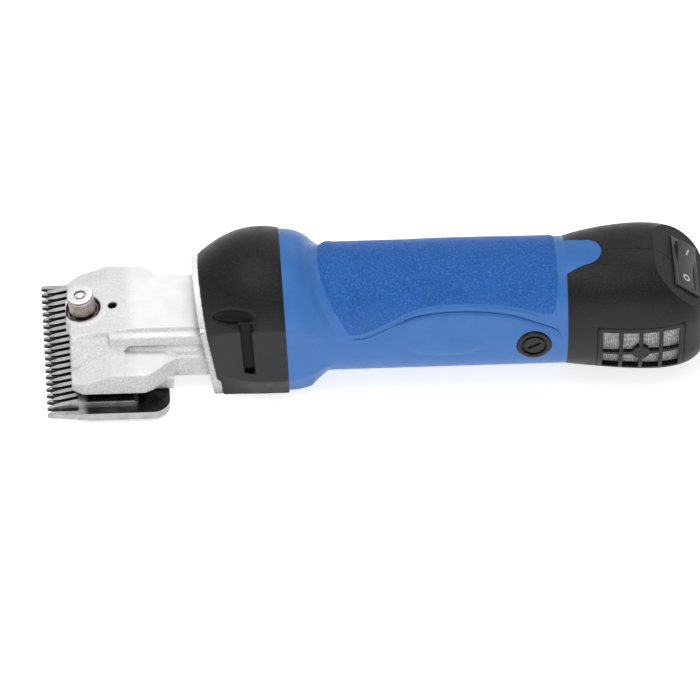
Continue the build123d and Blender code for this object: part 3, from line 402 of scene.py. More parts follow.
def moulded(name, colour, grain, roughness, depth=0.05, specular=0.5, speckle=0.0):
    """Spark-eroded plastic: even grain with lighter specks and slight clouding, and painted light that makes
    faces lighter the further they turn from looking up.
    """
    s = Shader(name)
    s.specular(specular)
    cloud = s.noise(14 * MM, 4)
    fine = s.noise(grain, 2, 0.6)
    tone = s.blend(s.span(cloud, 0.3, 0.7), shade(colour, 0.9), shade(colour, 1.1))
    # painted light: faces that look sideways or down are made lighter, standing in for light from the floor
    # and the low lamp
    painted_low_light = s.span(s.parts(s.facing)[2], 0.05, 0.85, 0.5, 0.0)
    tone = s.blend(painted_low_light, tone, shade(colour, 1.45, 0.07))
    s.colour(s.blend(s.span(fine, 0.50, 0.62, 0.0, speckle), tone, shade(colour, 1.7, 0.04)))
    s.rough(s.span(s.noise(5 * MM, 3), 0.3, 0.7, roughness - 0.06, roughness + 0.08))
    s.bump(fine, depth * MM, 0.8)
    return s.material


def housing_lines(s):
    """Where painted shade makes the gear housing black: inside its cooling slots, and in the pockets over its
    screws.
    """
    along, across, height = s.parts(s.place)
    up = s.minus(height, AXIS_Z)
    over = s.minus(up, SLOT_Z)
    off = s.plus(s.minus(along, on_tool(SLOT_X)), s.times(over, SLOT_LEAN))
    wide = s.span(s.unsigned(off), SLOT_EDGE + 0.05 * MM, SLOT_EDGE - 0.15 * MM)
    tall = s.span(s.unsigned(over), SLOT_HALF + 0.2 * MM, SLOT_HALF)
    slot = s.times(wide, tall)
    # the pockets' floors, darkened as painted shade
    turn = s.maths("ARCTAN2", s.unsigned(across), up)
    off_x = s.maths("DIVIDE", s.minus(along, on_tool(POCKET_X)), POCKET_HALF_LENGTH * MM)
    half_turn = POCKET_HALF_HEIGHT / 34             # 34 mm from the axis
    off_turn = s.maths("DIVIDE", s.minus(turn, math.radians(POCKET_ANGLE)), half_turn)
    leaf = s.plus(s.squared(s.unsigned(off_x)), s.squared(s.unsigned(off_turn)))
    return s.larger(slot, s.span(leaf, 1.0, 0.55, 0.0, 0.7))


def cover_lines(s):
    """Where the rear cover has lines: the hairline between its halves, and round each filter cover."""
    along, across, height = s.parts(s.place)
    parting = s.times(s.span(s.unsigned(across), 0.35 * MM, 0.05 * MM),
                      s.span(height, AXIS_Z + 10 * MM, AXIS_Z + 11 * MM))
    middle, half = (FILTER_LOW + FILTER_HIGH) / 2, (FILTER_HIGH - FILTER_LOW) / 2
    past_x = s.minus(s.unsigned(s.minus(along, middle.x)), half.x)
    past_z = s.minus(s.unsigned(s.minus(height, middle.z)), half.z)
    outline = s.span(s.unsigned(s.larger(past_x, past_z)), 0.65 * MM, 0.3 * MM)
    outline = s.times(outline, s.span(s.unsigned(across), 14 * MM, 15 * MM))
    return s.larger(parting, outline)


def lined_plastic(name, colour, lines):
    """Grained black moulding that is black and sunk where its lines are, and painted light that makes faces
    lighter the further they turn from looking up.
    """
    s = Shader(name)
    line = lines(s)
    s.specular(0.14)
    height = s.parts(s.place)[2]
    cloud = s.noise(14 * MM, 4)
    fine = s.noise(1.0 * MM, 3, 0.7)
    tone = s.blend(s.span(cloud, 0.3, 0.7), shade(colour, 0.8), shade(colour, 1.25))
    # painted light: faces that look sideways or down are made lighter, standing in for light from the floor
    # and the low lamp
    painted_low_light = s.span(s.parts(s.facing)[2], 0.0, 0.75, 0.8, 0.0)
    tone = s.blend(painted_low_light, tone, shade(colour, 2, 0.035))
    strength = s.span(height, 3.4 * MM, 2.8 * MM, 0.3, 0.9)
    tone = s.blend(s.times(s.span(fine, 0.50, 0.62), strength), tone, shade(colour, 4.5))
    s.colour(s.blend(line, tone, shade(colour, 0.05)))
    s.rough(s.span(s.noise(5 * MM, 3), 0.3, 0.7, 0.36, 0.48))
    under = s.bump(s.minus(1.0, line), 0.2 * MM, 1.0)
    s.bump(fine, 0.14 * MM, 0.8, under)
    return s.material


def gauze(colour, pitch):
    """Woven steel wire: bright crossing wires over dark holes."""
    s = Shader("filter_gauze", Metallic=0.25, Roughness=0.38)
    x, _, z = s.parts(s.place)
    turn = 2 * math.pi / pitch
    warp = s.maths("SINE", s.times(x, turn))
    weft = s.maths("SINE", s.times(z, turn))
    woven = s.larger(warp, weft)
    wires = s.span(woven, -0.35, 0.35)
    spots = s.span(s.noise(1.6 * MM, 3), 0.4, 0.65, 0.7, 1.2)
    s.colour(s.blend(s.times(wires, spots), (0.02, 0.02, 0.02), colour))
    s.bump(woven, 0.3 * MM, 0.9)
    return s.material


def banded_metal(name, roughness, wave, direction, dark, bright, depth, strength):
    """Metal in fine bands side by side: turns of wire, or a stack of sheets."""
    s = Shader(name, Metallic=0.9, Roughness=roughness)
    bands = s.node("TexWave", {"Vector": s.place, **wave}, bands_direction=direction).outputs["Fac"]
    s.colour(s.blend(bands, dark, bright))
    s.bump(bands, depth, strength)
    return s.material


def copper_wire():
    return banded_metal("enamelled_copper", 0.35, {"Scale": 900.0, "Distortion": 1.2, "Detail": 2.0}, "Y",
                        (0.33, 0.11, 0.04), (0.78, 0.36, 0.16), 0.2 * MM, 0.8)


def laminated_steel():
    return banded_metal("stamped_sheets", 0.42, {"Scale": 600.0, "Distortion": 0.2}, "X",
                        (0.2, 0.2, 0.21), (0.45, 0.45, 0.47), 0.08 * MM, 0.6)


def dress(material, *nodes):
    """Gives every face of some CAD nodes one material."""
    for node in nodes:
        obj = NODES[node]
        if not obj.material_slots:
            obj.data.materials.append(material)
        for slot in obj.material_slots:
            slot.material = material


# ------------------------------------------------------------------ mesh helpers
def add_piece(name, mesh, node, materials, replaced=(), sharp=40):
    """Links a mesh as a finished piece that rides with a CAD node and has its material slot."""
    body = NODES[node]["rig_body"]
    obj = bpy.data.objects.new(name, mesh)
    bpy.context.scene.collection.objects.link(obj)
    mesh.shade_smooth()
    mesh.set_sharp_from_angle(angle=math.radians(sharp))
    while len(mesh.materials) < len(materials):
        mesh.materials.append(None)
    for i, material in enumerate(materials):
        mesh.materials[i] = material
    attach(obj, body)
    if replaced:
        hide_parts(*replaced)


@contextmanager
def editing(mesh):
    """A mesh opened for bmesh operators, and written back after them."""
    form = bmesh.new()
    form.from_mesh(mesh)
    yield form
    form.to_mesh(mesh)
    form.free()


def mesh_from(name, points, faces):
    mesh = bpy.data.meshes.new(name)
    mesh.from_pydata(points, [], faces)
    with editing(mesh) as form:
        bmesh.ops.recalc_face_normals(form, faces=form.faces)
    return mesh


def grid_faces(rows, wide, start=0):
    """Faces of a grid of points: rows of wide points each."""
    corners = [start + i * wide + k for i in range(rows - 1) for k in range(wide - 1)]
    return [(a, a + 1, a + wide + 1, a + wide) for a in corners]


def with_modifiers(mesh, *steps):
    """A new mesh: the given one after a row of modifiers, each a (kind, values) pair."""
    obj = bpy.data.objects.new("working", mesh)
    bpy.context.scene.collection.objects.link(obj)
    for kind, values in steps:
        modifier = obj.modifiers.new(kind, kind)
        for key, value in values.items():
            setattr(modifier, key, value)
    graph = bpy.context.evaluated_depsgraph_get()
    result = bpy.data.meshes.new_from_object(obj.evaluated_get(graph))
    bpy.data.objects.remove(obj)
    return result


def cut_with(mesh, cutter_mesh):
    cutter = bpy.data.objects.new("cutter_tool", cutter_mesh)
    bpy.context.scene.collection.objects.link(cutter)
    result = with_modifiers(mesh, ("BOOLEAN", {
        "operation": "DIFFERENCE", "solver": "EXACT", "object": cutter}))
    bpy.data.objects.remove(cutter)
    return result


def halved_faces(mesh, on_second):
    """Gives a mesh two empty material slots, with the faces that on_second picks on the second."""
    mesh.materials.clear()
    mesh.materials.append(None)
    mesh.materials.append(None)
    for polygon in mesh.polygons:
        polygon.material_index = 1 if on_second(polygon) else 0


def softened(node, voxel, passes, keep=1.0):
    """Copy of a CAD node's mesh with every edge and corner rounded, as a casting or moulding has them."""
    steps = [("REMESH", {"mode": "VOXEL", "voxel_size": voxel, "use_smooth_shade": True}),
             ("SMOOTH", {"factor": 0.5, "iterations": passes})]
    if keep < 1.0:
        steps.append(("DECIMATE", {"ratio": keep}))
    return with_modifiers(NODES[node].data.copy(), *steps)


def bevelled(node, width):
    """Copy of a CAD node's mesh with its sharp edges broken."""
    mesh = NODES[node].data.copy()
    with editing(mesh) as form:
        bmesh.ops.remove_doubles(form, verts=form.verts, dist=0.001 * MM)
        bmesh.ops.dissolve_limit(form, angle_limit=math.radians(0.5), verts=form.verts, edges=form.edges)
    return with_modifiers(mesh, ("BEVEL", {
        "width": width, "segments": 2, "limit_method": "ANGLE", "angle_limit": math.radians(35),
        "harden_normals": False}))


def lathe(name, profile, centre, axis, count=72, flute=None):
    """Turned piece. The profile is a closed row of (distance from the axis, height); flute changes a
    distance by angle."""
    turn = axis.to_track_quat("Z", "Y").to_matrix()
    points = []
    for i in range(count):
        angle = 2 * math.pi * i / count
        for radius, height in profile:
            r = flute(radius, height, angle) if flute else radius
            points.append(centre + turn @ Vector((r * math.cos(angle), r * math.sin(angle), height)))
    n = len(profile)
    faces = []
    for i in range(count):
        for j in range(n):
            a, b = i * n + j, i * n + (j + 1) % n
            c, d = (b + n) % (count * n), (a + n) % (count * n)
            faces.append((a, b, c, d))
    mesh = mesh_from(name, points, faces)
    with editing(mesh) as form:
        bmesh.ops.remove_doubles(form, verts=form.verts, dist=0.002 * MM)
    return mesh


def bar(name, centre, half, turn):
    """Small bar with broken edges, half its size along its own three axes."""
    mesh = bpy.data.meshes.new(name)
    with editing(mesh) as form:
        bmesh.ops.create_cube(form, size=2.0)
        bmesh.ops.scale(form, vec=half, verts=form.verts)
        bmesh.ops.bevel(form, geom=form.edges[:], offset=min(half) * 0.3, segments=2, affect="EDGES")
    mesh.transform(turn.to_4x4())
    mesh.transform(Matrix.Translation(centre))
    return mesh


def outside_of(node):
    """Tree of a CAD node's surface, for finding places on it."""
    mesh = NODES[node].data
    return BVHTree.FromPolygons([v.co for v in mesh.vertices], [p.vertices for p in mesh.polygons])


def smooth_step(value, low, high):
    t = min(1.0, max(0.0, (value - low) / (high - low)))
    return t * t * (3 - 2 * t)


def along_curve(points, x):
    """Height of a smooth line through the (x, height) points, level beyond its ends."""
    if x <= points[0][0]:
        return points[0][1]
    for i in range(len(points) - 1):
        x0, y0 = points[i]
        x1, y1 = points[i + 1]
        if x <= x1:
            before = points[max(0, i - 1)]
            after = points[min(len(points) - 1, i + 2)]
            m0 = (y1 - before[1]) / (x1 - before[0])
            m1 = (after[1] - y0) / (after[0] - x0)
            w, t = x1 - x0, (x - x0) / (x1 - x0)
            return ((2 * t**3 - 3 * t**2 + 1) * y0 + (t**3 - 2 * t**2 + t) * w * m0
                    + (3 * t**2 - 2 * t**3) * y1 + (t**3 - t**2) * w * m1)
    return points[-1][1]


# ------------------------------------------------------------------ motor casing
# (distance behind the comb's points in mm, angle from the top in degrees)
PANEL_EDGE = [(131.0, 74.6), (137.7, 74.3), (146.5, 66.8), (163.2, 51.2), (184.4, 47.9), (205.5, 52.0),
              (217.8, 59.3)]
GROOVE_LINE = [(134.2, 77.0), (138.9, 76.2), (144.2, 72.1), (150.1, 66.3), (161.5, 57.0), (182.2, 53.4),
               (203.3, 57.8), (216.9, 67.2), (224.0, 74.0), (226.5, 80.0)]
SECOND_GROOVE = [(207.0, 64.5), (213.0, 69.5), (221.8, 77.3), (227.0, 85.0)]
# (angle, distance)
PANEL_FRONT = [(30.0, 129.0), (35.0, 130.7), (47.2, 135.4), (61.0, 138.3), (68.9, 141.9)]
FACET_LINE = [(0.0, 119.6), (19.7, 120.6), (44.1, 124.8), (70.7, 132.0)]
# distances between which a form fades in or out
LIP_STARTS = (133.0, 142.0)
LIP_THINS = (214.0, 219.0)
GROOVE_STARTS = (132.0, 137.0)
GROOVE_ENDS = (223.5, 227.0)
SECOND_STARTS = (207.0, 211.0)
SECOND_ENDS = (224.5, 227.5)
PANEL_TURNS = 217.8                     # where the panel's edge starts to turn up
PANEL_END = 224.9
LIP_WIDTH = 2.4
THIN_LIP_WIDTH = 0.9                    # round the panel's rear end
VALLEY_PLACE = 4.2                      # in front of the facet line
VALLEY_REACH = 2.6
GRIP_START = 130.5                      # the grip is round from here on
GRIP_MIDDLE = 200.0
GRIP_RADIUS = 28 * MM
TONGUE_START = 228.9
TONGUE_ROOT = 227.0
TONGUE_TIP = 244.6
TONGUE_BASE = 11.0
TONGUE_WIDTH = 7.5
TONGUE_INSET = 0.25                     # how far inside the tongue's edge its height is found
TONGUE_LINES = 10                       # the mesh's lines on each half of the tongue
TONGUE_RINGS = 24
SEAM_X = 105.4
SEAM_FADE = 6.6                         # how far behind the seam the casing still leans with it
BELL_TOP = 35                           # about how far the bell reaches over and under the axis
BELL_BOTTOM = -27.5
PAD_X = 175.3
PAD_ANGLE = 87.7
PAD_HALF_LENGTH = 16.5
PAD_HALF_HEIGHT = 5.8
RAY_START = 60                          # mm from the axis, outside every casing


def tongue_half_width(x):
    """Half width of the casing's tongue at x, with its rounded tip."""
    shoulder = TONGUE_TIP - TONGUE_WIDTH
    if x <= shoulder:
        return TONGUE_BASE + (TONGUE_WIDTH - TONGUE_BASE) * (x - TONGUE_ROOT) / (shoulder - TONGUE_ROOT)
    reach = min(1.0, (x - shoulder) / TONGUE_WIDTH)
    return TONGUE_WIDTH * math.sqrt(max(0.0, 1 - reach * reach))


def casing_rows(x, tongue_angle):
    """Angles of the mesh's lines at x: they follow the tongue, the panel's edge and the groove."""
    edge = min(along_curve(PANEL_EDGE, x), 76.0)
    groove = max(along_curve(GROOVE_LINE, x), edge + 4.0)
    half = 0.8
    # (angle, number of lines up to the next one)
    stops = [(0.0, TONGUE_LINES), (tongue_angle, 20), (edge, 6), (groove - half, 2), (groove, 2),
             (groove + half, 18), (114.4, 14), (139.0, 16), (180.0, 0)]
    return spaced(stops) + [180.0]


def casing_stations():
    """Distances of the mesh's rings, close together where the panel starts and ends."""
    marks = [(SEAM_X + 0.05, 0.9), (117.0, 0.45), (144.0, 0.9), (215.0, 0.4), (226.5, 0.6), (TONGUE_START, 0)]
    stops = [(start, max(1, round((end - start) / step)))
             for (start, step), (end, _) in zip(marks, marks[1:])]
    return spaced(stops + marks[-1:]) + [TONGUE_START]


def spaced(stops):
    """Evenly spaced values between stops, each a (value, number of steps to the next stop) pair."""
    values = []
    for (low, count), (high, _) in zip(stops, stops[1:]):
        values += [low + (high - low) * i / count for i in range(count)]
    return values


def panel_edge(x):
    """Angle of the grip panel's edge at x, and how much of its turn at the rear lies in front of x."""
    edge = along_curve(PANEL_EDGE, x)
    turned = (x - PANEL_TURNS) / (PANEL_END - PANEL_TURNS)
    if turned > 0:
        edge *= math.sqrt(max(0.0, 1 - turned ** 6))
    return edge, turned


def relief(x, angle, radius, sizes):
    """How far the casing's moulded forms lift its surface at a place, in millimetres."""
    rise, lip = sizes.panel_rise / MM, sizes.lip_rise / MM
    per_degree = radius * math.pi / 180
    lift = 0.0
    # the grained panel and its lip
    edge, turned = panel_edge(x)
    inside = (edge - angle) * per_degree
    if turned > 0.75:
        inside = min(inside, PANEL_END - x)
    front = x - along_curve(FACET_LINE, angle)
    low_front = smooth_step(angle, 70, 76) * (1 - smooth_step(x, 132, 136))
    began = smooth_step(front, -0.6, 0.4) * (1 - low_front)
    if turned < 1:
        lift += rise * smooth_step(inside, -0.5, 0.3) * began
    thin = smooth_step(x, *LIP_THINS)
    width = LIP_WIDTH * (1 - thin) + THIN_LIP_WIDTH * thin
    middle = inside + width * 0.45
    if abs(middle) < width / 2 and turned < 1.05:
        shown = smooth_step(x, *LIP_STARTS)
        lift += lip * (0.35 * thin + 1 - thin) * shown * math.cos(math.pi * middle / width)
    # the groove under the lip, and the second one behind it
    groove = (angle - along_curve(GROOVE_LINE, x)) * per_degree
    half = sizes.groove_width / MM / 2
    faded = smooth_step(x, *GROOVE_STARTS) * (1 - smooth_step(x, *GROOVE_ENDS))
    lift -= sizes.groove_depth / MM * faded * max(0.0, 1 - abs(groove) / half)
    second = (angle - along_curve(SECOND_GROOVE, x)) * per_degree
    started = smooth_step(x, *SECOND_STARTS) * (1 - smooth_step(x, *SECOND_ENDS))
    lift += 0.45 * lip * started * math.exp(-(second / 0.55) ** 2)
    lift -= 0.4 * started * smooth_step(groove, 0.3, 0.8) * (1 - smooth_step(second, -0.9, -0.2))
    # valley behind the bell, with a bright crease at its rear, and the facet's fine rear line
    side = 1 - smooth_step(angle, 66, 84)
    valley = math.exp(-((front + VALLEY_PLACE) / VALLEY_REACH) ** 2)
    lift -= sizes.valley_depth / MM * valley * side
    crease = smooth_step(front, -1.2, 0.0) * (1 - smooth_step(front, 0.0, 2.6))
    lift += 0.4 * crease * smooth_step(angle, 12, 22) * side
    line = x - along_curve(PANEL_FRONT, angle)
    drawn = smooth_step(angle, 32, 38) * (1 - smooth_step(angle, 66, 72))
    lift -= 0.3 * drawn * max(0.0, 1 - abs(line) / 0.7)
    # thumb pad
    pad = math.hypot((x - PAD_X) / PAD_HALF_LENGTH, (angle - PAD_ANGLE) * per_degree / PAD_HALF_HEIGHT)
    lift += sizes.pad_rise / MM * (1 - smooth_step(pad, 0.72, 1.04))
    lift -= 0.3 * math.exp(-((pad - 1.12) / 0.14) ** 2)
    return lift


def grained(x, angle):
    """Whether a place lies on the grained grip panel."""
    if x >= PANEL_END - 0.3 or x <= along_curve(FACET_LINE, angle):
        return False
    return angle < panel_edge(x)[0] - 0.4


def surface_reach(tree, x, angle, fallback):
    """Distance from the motor axis to a casing's outside."""
    middle = Vector((on_tool(x), 0, AXIS_Z))
    out = Vector((0, math.sin(math.radians(angle)), math.cos(math.radians(angle))))
    hit = tree.ray_cast(middle + out * RAY_START * MM, -out)[0]
    if hit is None:
        return fallback
    return (hit - middle).dot(out)


def casing_lean(x):
    """How much the casing leans at x: with the seam at its front, and not at all on the grip."""
    return math.tan(SEAM_LEAN) * (1 - smooth_step(x, SEAM_X, SEAM_X + SEAM_FADE))


def casing_reach(tree, stations, tongue_angle, grip):
    """Distances from the motor axis to the CAD casing's outside, ring by ring, with its edges evened out."""
    reach = []
    for x in stations:
        ring = []
        for angle in casing_rows(x, tongue_angle):
            if x > GRIP_START:
                ring.append(grip)
                continue
            z = max(BELL_TOP * math.cos(math.radians(angle)), BELL_BOTTOM)
            ring.append(surface_reach(tree, x - z * casing_lean(x) + 0.03, angle, grip))
        reach.append(ring)
    for _ in range(3):
        reach = [[
            (row[max(0, j - 1)] + 2 * row[j] + row[min(len(row) - 1, j + 1)]) / 4 for j in range(len(row))]
            for row in reach]
        reach = [reach[0]] + [
            [(a + 2 * b + c) / 4 for a, b, c in zip(reach[i - 1], reach[i], reach[i + 1])]
            for i in range(1, len(reach) - 1)] + [reach[-1]]
    return reach


def casing_points(stations, reach, tongue_angle, sizes):
    """The casing's points from its front edge to the tongue, ring by ring, and which of them are grained."""
    rows = len(reach[0])
    points, marks = [], []
    for x, ring in zip(stations, reach):
        lean = casing_lean(x)
        angles = casing_rows(x, tongue_angle)
        for k in range(-rows + 1, rows):
            side = -1 if k < 0 else 1
            angle, radius = angles[abs(k)], ring[abs(k)]
            lifted = radius + relief(x, angle, radius / MM, sizes) * MM
            turn = side * math.radians(angle)
            z = lifted * math.cos(turn)
            points.append((on_tool(x) - z * lean, lifted * math.sin(turn), AXIS_Z + z))
            marks.append(grained(x, angle))
    return points, marks


def add_tongue(tree, points, faces, last, grip):
    """Goes on from the last ring's top rows with the tongue, on the CAD casing's surface."""
    half = TONGUE_LINES
    for i in range(1, TONGUE_RINGS + 1):
        x = TONGUE_START + (TONGUE_TIP - TONGUE_START) * math.sin(math.pi / 2 * i / TONGUE_RINGS)
        width = tongue_half_width(x)
        made = []
        for k in range(-half, half + 1):
            y = width * k / half * MM
            inside = max(-1.0, min(1.0, y / (width * MM - TONGUE_INSET * MM))) if width > 1 else 0.0
            seek = Vector((on_tool(min(x, TONGUE_TIP - 0.4)), inside * (width - TONGUE_INSET) * MM, 0.2))
            hit = tree.ray_cast(seek, Vector((0, 0, -1)))[0]
            made.append(len(points))
            points.append((on_tool(x), y, hit.z if hit else AXIS_Z + grip))
        for k in range(2 * half):
            faces.append((last[k], last[k + 1], made[k + 1], made[k]))
        last = made


def casing_skin(sizes):
    """The whole casing: bell, grip and tongue, with the grip panel's lip, grooves and thumb pads."""
    tree = outside_of("motor_casing")
    grip = surface_reach(tree, GRIP_MIDDLE, 180.0, GRIP_RADIUS)
    tongue_angle = math.degrees(math.asin(tongue_half_width(TONGUE_START) * MM / grip))
    stations = casing_stations()
    reach = casing_reach(tree, stations, tongue_angle, grip)
    points, marks = casing_points(stations, reach, tongue_angle, sizes)
    rows = len(reach[0])
    wide = 2 * rows - 1
    faces = grid_faces(len(stations), wide)
    top = (len(stations) - 1) * wide + rows - 1
    add_tongue(tree, points, faces, [top + k for k in range(-TONGUE_LINES, TONGUE_LINES + 1)], grip)
    marks += [False] * (len(points) - len(marks))
    mesh = mesh_from("casing_skin", points, faces)
    halved_faces(mesh, lambda polygon: sum(marks[v] for v in polygon.vertices) > 2)
    with editing(mesh) as form:
        bmesh.ops.remove_doubles(form, verts=form.verts, dist=0.01 * MM)
    if mesh.polygons[0].normal.dot(mesh.polygons[0].center - AXIS) < 0:
        mesh.flip_normals()
    mesh = with_modifiers(mesh, ("SOLIDIFY", {"thickness": sizes.casing_wall, "offset": -1}))
    well = CAP_RADIUS + 0.1 * MM
    drill = lathe("drill", [(0, -1), (well, -1), (well, 1), (0, 1)], Vector((CAP_X, 0, AXIS_Z)),
                  Vector((0, 1, 0)), 64)
    return cut_with(mesh, drill)


# ------------------------------------------------------------------ gear housing
PATCH_FRONT = (70.5, 72.0)              # the part of each shoulder that is cut again round the pocket
PATCH_REAR = (92.5, 96)
PATCH_TOP = (36, 39)
PATCH_SIDE = 62
CLEAR_OF_SLOT = 3.4
INNER_WALL = 11 * MM                    # what lies further in than this is the housing's inside


def housing_form():
    """Tree of the housing's outside without its recesses."""
    shell = bmesh.new()
    shell.from_mesh(NODES["gear_housing"].data)
    hull = bmesh.ops.convex_hull(shell, input=shell.verts)
    bmesh.ops.delete(shell, geom=list({*hull["geom_interior"], *hull["geom_unused"]}), context="VERTS")
    tree = BVHTree.FromBMesh(shell)
    shell.free()
    return tree


def in_slot(polygon):
    """Whether a face of the housing is inside a cooling slot."""
    over = polygon.center.z - AXIS_Z - SLOT_Z
    off = polygon.center.x - on_tool(SLOT_X) + over * SLOT_LEAN
    return abs(off) < SLOT_EDGE and abs(over) < SLOT_HALF + 0.1 * MM


def housing_skin():
    """Gear housing with rounded edges and a leaf-shaped pocket on each shoulder."""
    mesh = softened("gear_housing", 0.5 * MM, 2)
    form = housing_form()
    for vertex in mesh.vertices:
        x = (vertex.co.x - TIPS) / MM
        y, z = vertex.co.y, vertex.co.z - AXIS_Z
        angle = math.degrees(math.atan2(abs(y), z))
        reach = math.hypot(y, z)
        if not (PATCH_FRONT[0] < x < PATCH_REAR[1] and PATCH_TOP[0] < angle < PATCH_SIDE):
            continue
        off_slot = abs(x - SLOT_X + (z - SLOT_Z) / MM * SLOT_LEAN)
        if z < SLOT_Z + SLOT_HALF + 0.9 * MM and off_slot < CLEAR_OF_SLOT:
            continue
        full = surface_reach(form, x, math.copysign(angle, y), reach)
        if reach < full - INNER_WALL:
            continue
        leaf = math.hypot((x - POCKET_X) / POCKET_HALF_LENGTH,
                          (angle - POCKET_ANGLE) * math.radians(1) * full / MM / POCKET_HALF_HEIGHT)
        depth = POCKET_DEPTH * math.sqrt(max(0.0, 1 - leaf * leaf)) + 0.05
        kept = max(smooth_step(x, *PATCH_REAR), 1 - smooth_step(x, *PATCH_FRONT),
                   1 - smooth_step(angle, *PATCH_TOP))
        radius = kept * reach + (1 - kept) * (full - depth * MM)
        vertex.co.y = math.copysign(radius * math.sin(math.radians(angle)), y)
        vertex.co.z = AXIS_Z + radius * math.cos(math.radians(angle))
    mesh = with_modifiers(mesh, ("SMOOTH", {"factor": 0.5, "iterations": 2}), ("DECIMATE", {"ratio": 0.5}))
    # faces inside the cooling slots go on the second material, for painted shade
    halved_faces(mesh, in_slot)
    return mesh


# ------------------------------------------------------------------ small pieces
def knob_mesh():
    """Steel knob with fine straight ribs, a rounded rim and a sunk centre with the pin's end."""
    radius = (KNOB_HIGH.y - KNOB_LOW.y) / 2
    half = ((KNOB_HIGH.z - KNOB_LOW.z) - 2 * radius * math.sin(KNOB_LEAN)) / 2 / math.cos(KNOB_LEAN)
    edge, ribs = 1.1 * MM, 44

    def flute(r, height, angle):
        if r < radius - 0.3 * MM or abs(height) > half - edge:
            return r
        return r - 0.13 * MM * (1 + math.cos(ribs * angle))

    profile = [(radius - 0.8 * MM, -half), (radius, -half + 0.8 * MM), (radius, half - 1.9 * MM),
               (radius - 0.35 * MM, half - 1.7 * MM), (radius - 0.35 * MM, half - 1.3 * MM),
               (radius - 0.05 * MM, half - edge), (radius - 0.3 * MM, half - 0.35 * MM),
               (radius - 1.0 * MM, half), (3.1 * MM, half), (2.7 * MM, half - 0.3 * MM),
               (2.6 * MM, half - 1.5 * MM), (1.9 * MM, half - 1.6 * MM), (1.7 * MM, half - 0.6 * MM),
               (1.2 * MM, half - 0.3 * MM), (0, half - 0.3 * MM), (0, half - 3.5 * MM),
               (4.5 * MM, half - 3.5 * MM), (4.5 * MM, -half)]
    return lathe("knob_steel", profile, (KNOB_LOW + KNOB_HIGH) / 2, KNOB_AXIS, ribs * 6, flute)


def spring_mesh(wire):
    """Light coil spring round the tension pin, under the knob."""
    low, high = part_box("tension_spring")
    radius = (high.y - low.y) / 2 - wire / 2
    centre = (low + high) / 2
    height = ((high.z - low.z) - 2 * (radius + wire / 2) * math.sin(KNOB_LEAN)) / math.cos(KNOB_LEAN) - wire
    turn = KNOB_AXIS.to_track_quat("Z", "Y").to_matrix()
    turns, count, sides = 2.5, 150, 8
    up = Vector((0, 0, 1))
    points, faces = [], []
    for i in range(count + 1):
        share = i / count
        angle = 2 * math.pi * turns * share
        out = Vector((math.cos(angle), math.sin(angle), 0))
        middle = out * radius + Vector((0, 0, height * (share - 0.5)))
        for j in range(sides):
            around = 2 * math.pi * j / sides
            from_wire = (out * math.cos(around) + up * math.sin(around)) * wire / 2
            points.append(centre + turn @ (middle + from_wire))
    for i in range(count):
        for j in range(sides):
            a, b = i * sides + j, i * sides + (j + 1) % sides
            faces.append((a, b, b + sides, a + sides))
    faces.append(tuple(range(sides)))
    faces.append(tuple(range(count * sides, (count + 1) * sides)))
    return mesh_from("spring_wire", points, faces)


def cap_mesh(node, side):
    """Screwed brush cap: a rounded rim, a dark ring and a flat disc with a slot."""
    low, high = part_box(node)
    centre = (low + high) / 2
    half = (high.y - low.y) / 2
    r = CAP_RADIUS
    profile = [(0, -half), (r, -half), (r, half - 0.9 * MM), (r - 0.3 * MM, half - 0.25 * MM),
               (r - 0.9 * MM, half), (r - 1.7 * MM, half - 0.1 * MM), (r - 2.1 * MM, half - 0.5 * MM),
               (r - 2.2 * MM, half - 1.5 * MM), (r - 2.9 * MM, half - 1.5 * MM),
               (r - 3.0 * MM, half - 0.5 * MM), (r - 3.3 * MM, half - 0.25 * MM), (0, half - 0.25 * MM)]
    mesh = lathe("cap", profile, centre, Vector((0, side, 0)))
    slot_turn = Matrix.Rotation(math.radians(-30), 3, "Y")
    slot_place = centre + Vector((0, side * half, 0))
    return cut_with(mesh, bar("slot", slot_place, Vector((r * 0.42, 1.2 * MM, 0.7 * MM)), slot_turn))


def gauze_mesh(node, side):
    """Curved sheet of gauze just behind the filter cover's windows."""
    low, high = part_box(node)
    shell = outside_of("rear_cover")
    inset, border = 2.3 * MM, 1.2 * MM
    thickness = 0.4 * MM
    across, up = 24, 16

    def depth(x, z):
        """How far the cover's outside stands from the middle plane, found beside the opening."""
        found = []
        for edge in (low.z - 1.5 * MM, high.z + 1.5 * MM):
            hit = shell.ray_cast(Vector((x, side * 0.1, edge)), Vector((0, -side, 0)))[0]
            found.append((edge, abs(hit.y) if hit else 24 * MM))
        (z0, y0), (z1, y1) = found
        share = (z - z0) / (z1 - z0)
        bulge = 4 * share * (1 - share) * 2.2 * MM
        return y0 + (y1 - y0) * share + bulge

    points = []
    for layer in (0, 1):
        for i in range(across + 1):
            for j in range(up + 1):
                x = low.x + border + (high.x - low.x - 2 * border) * i / across
                z = low.z + border + (high.z - low.z - 2 * border) * j / up
                points.append((x, side * (depth(x, z) - inset - layer * thickness), z))
    wide = up + 1
    base = (across + 1) * wide
    faces = grid_faces(across + 1, wide) + grid_faces(across + 1, wide, base)
    rim = [i * wide for i in range(across)] + [across * wide + j for j in range(up)]
    rim += [i * wide + up for i in range(across, 0, -1)] + [j for j in range(up, 0, -1)]
    for a, b in zip(rim, rim[1:] + rim[:1]):
        faces.append((a, b, b + base, a + base))
    return mesh_from("gauze", points, faces)


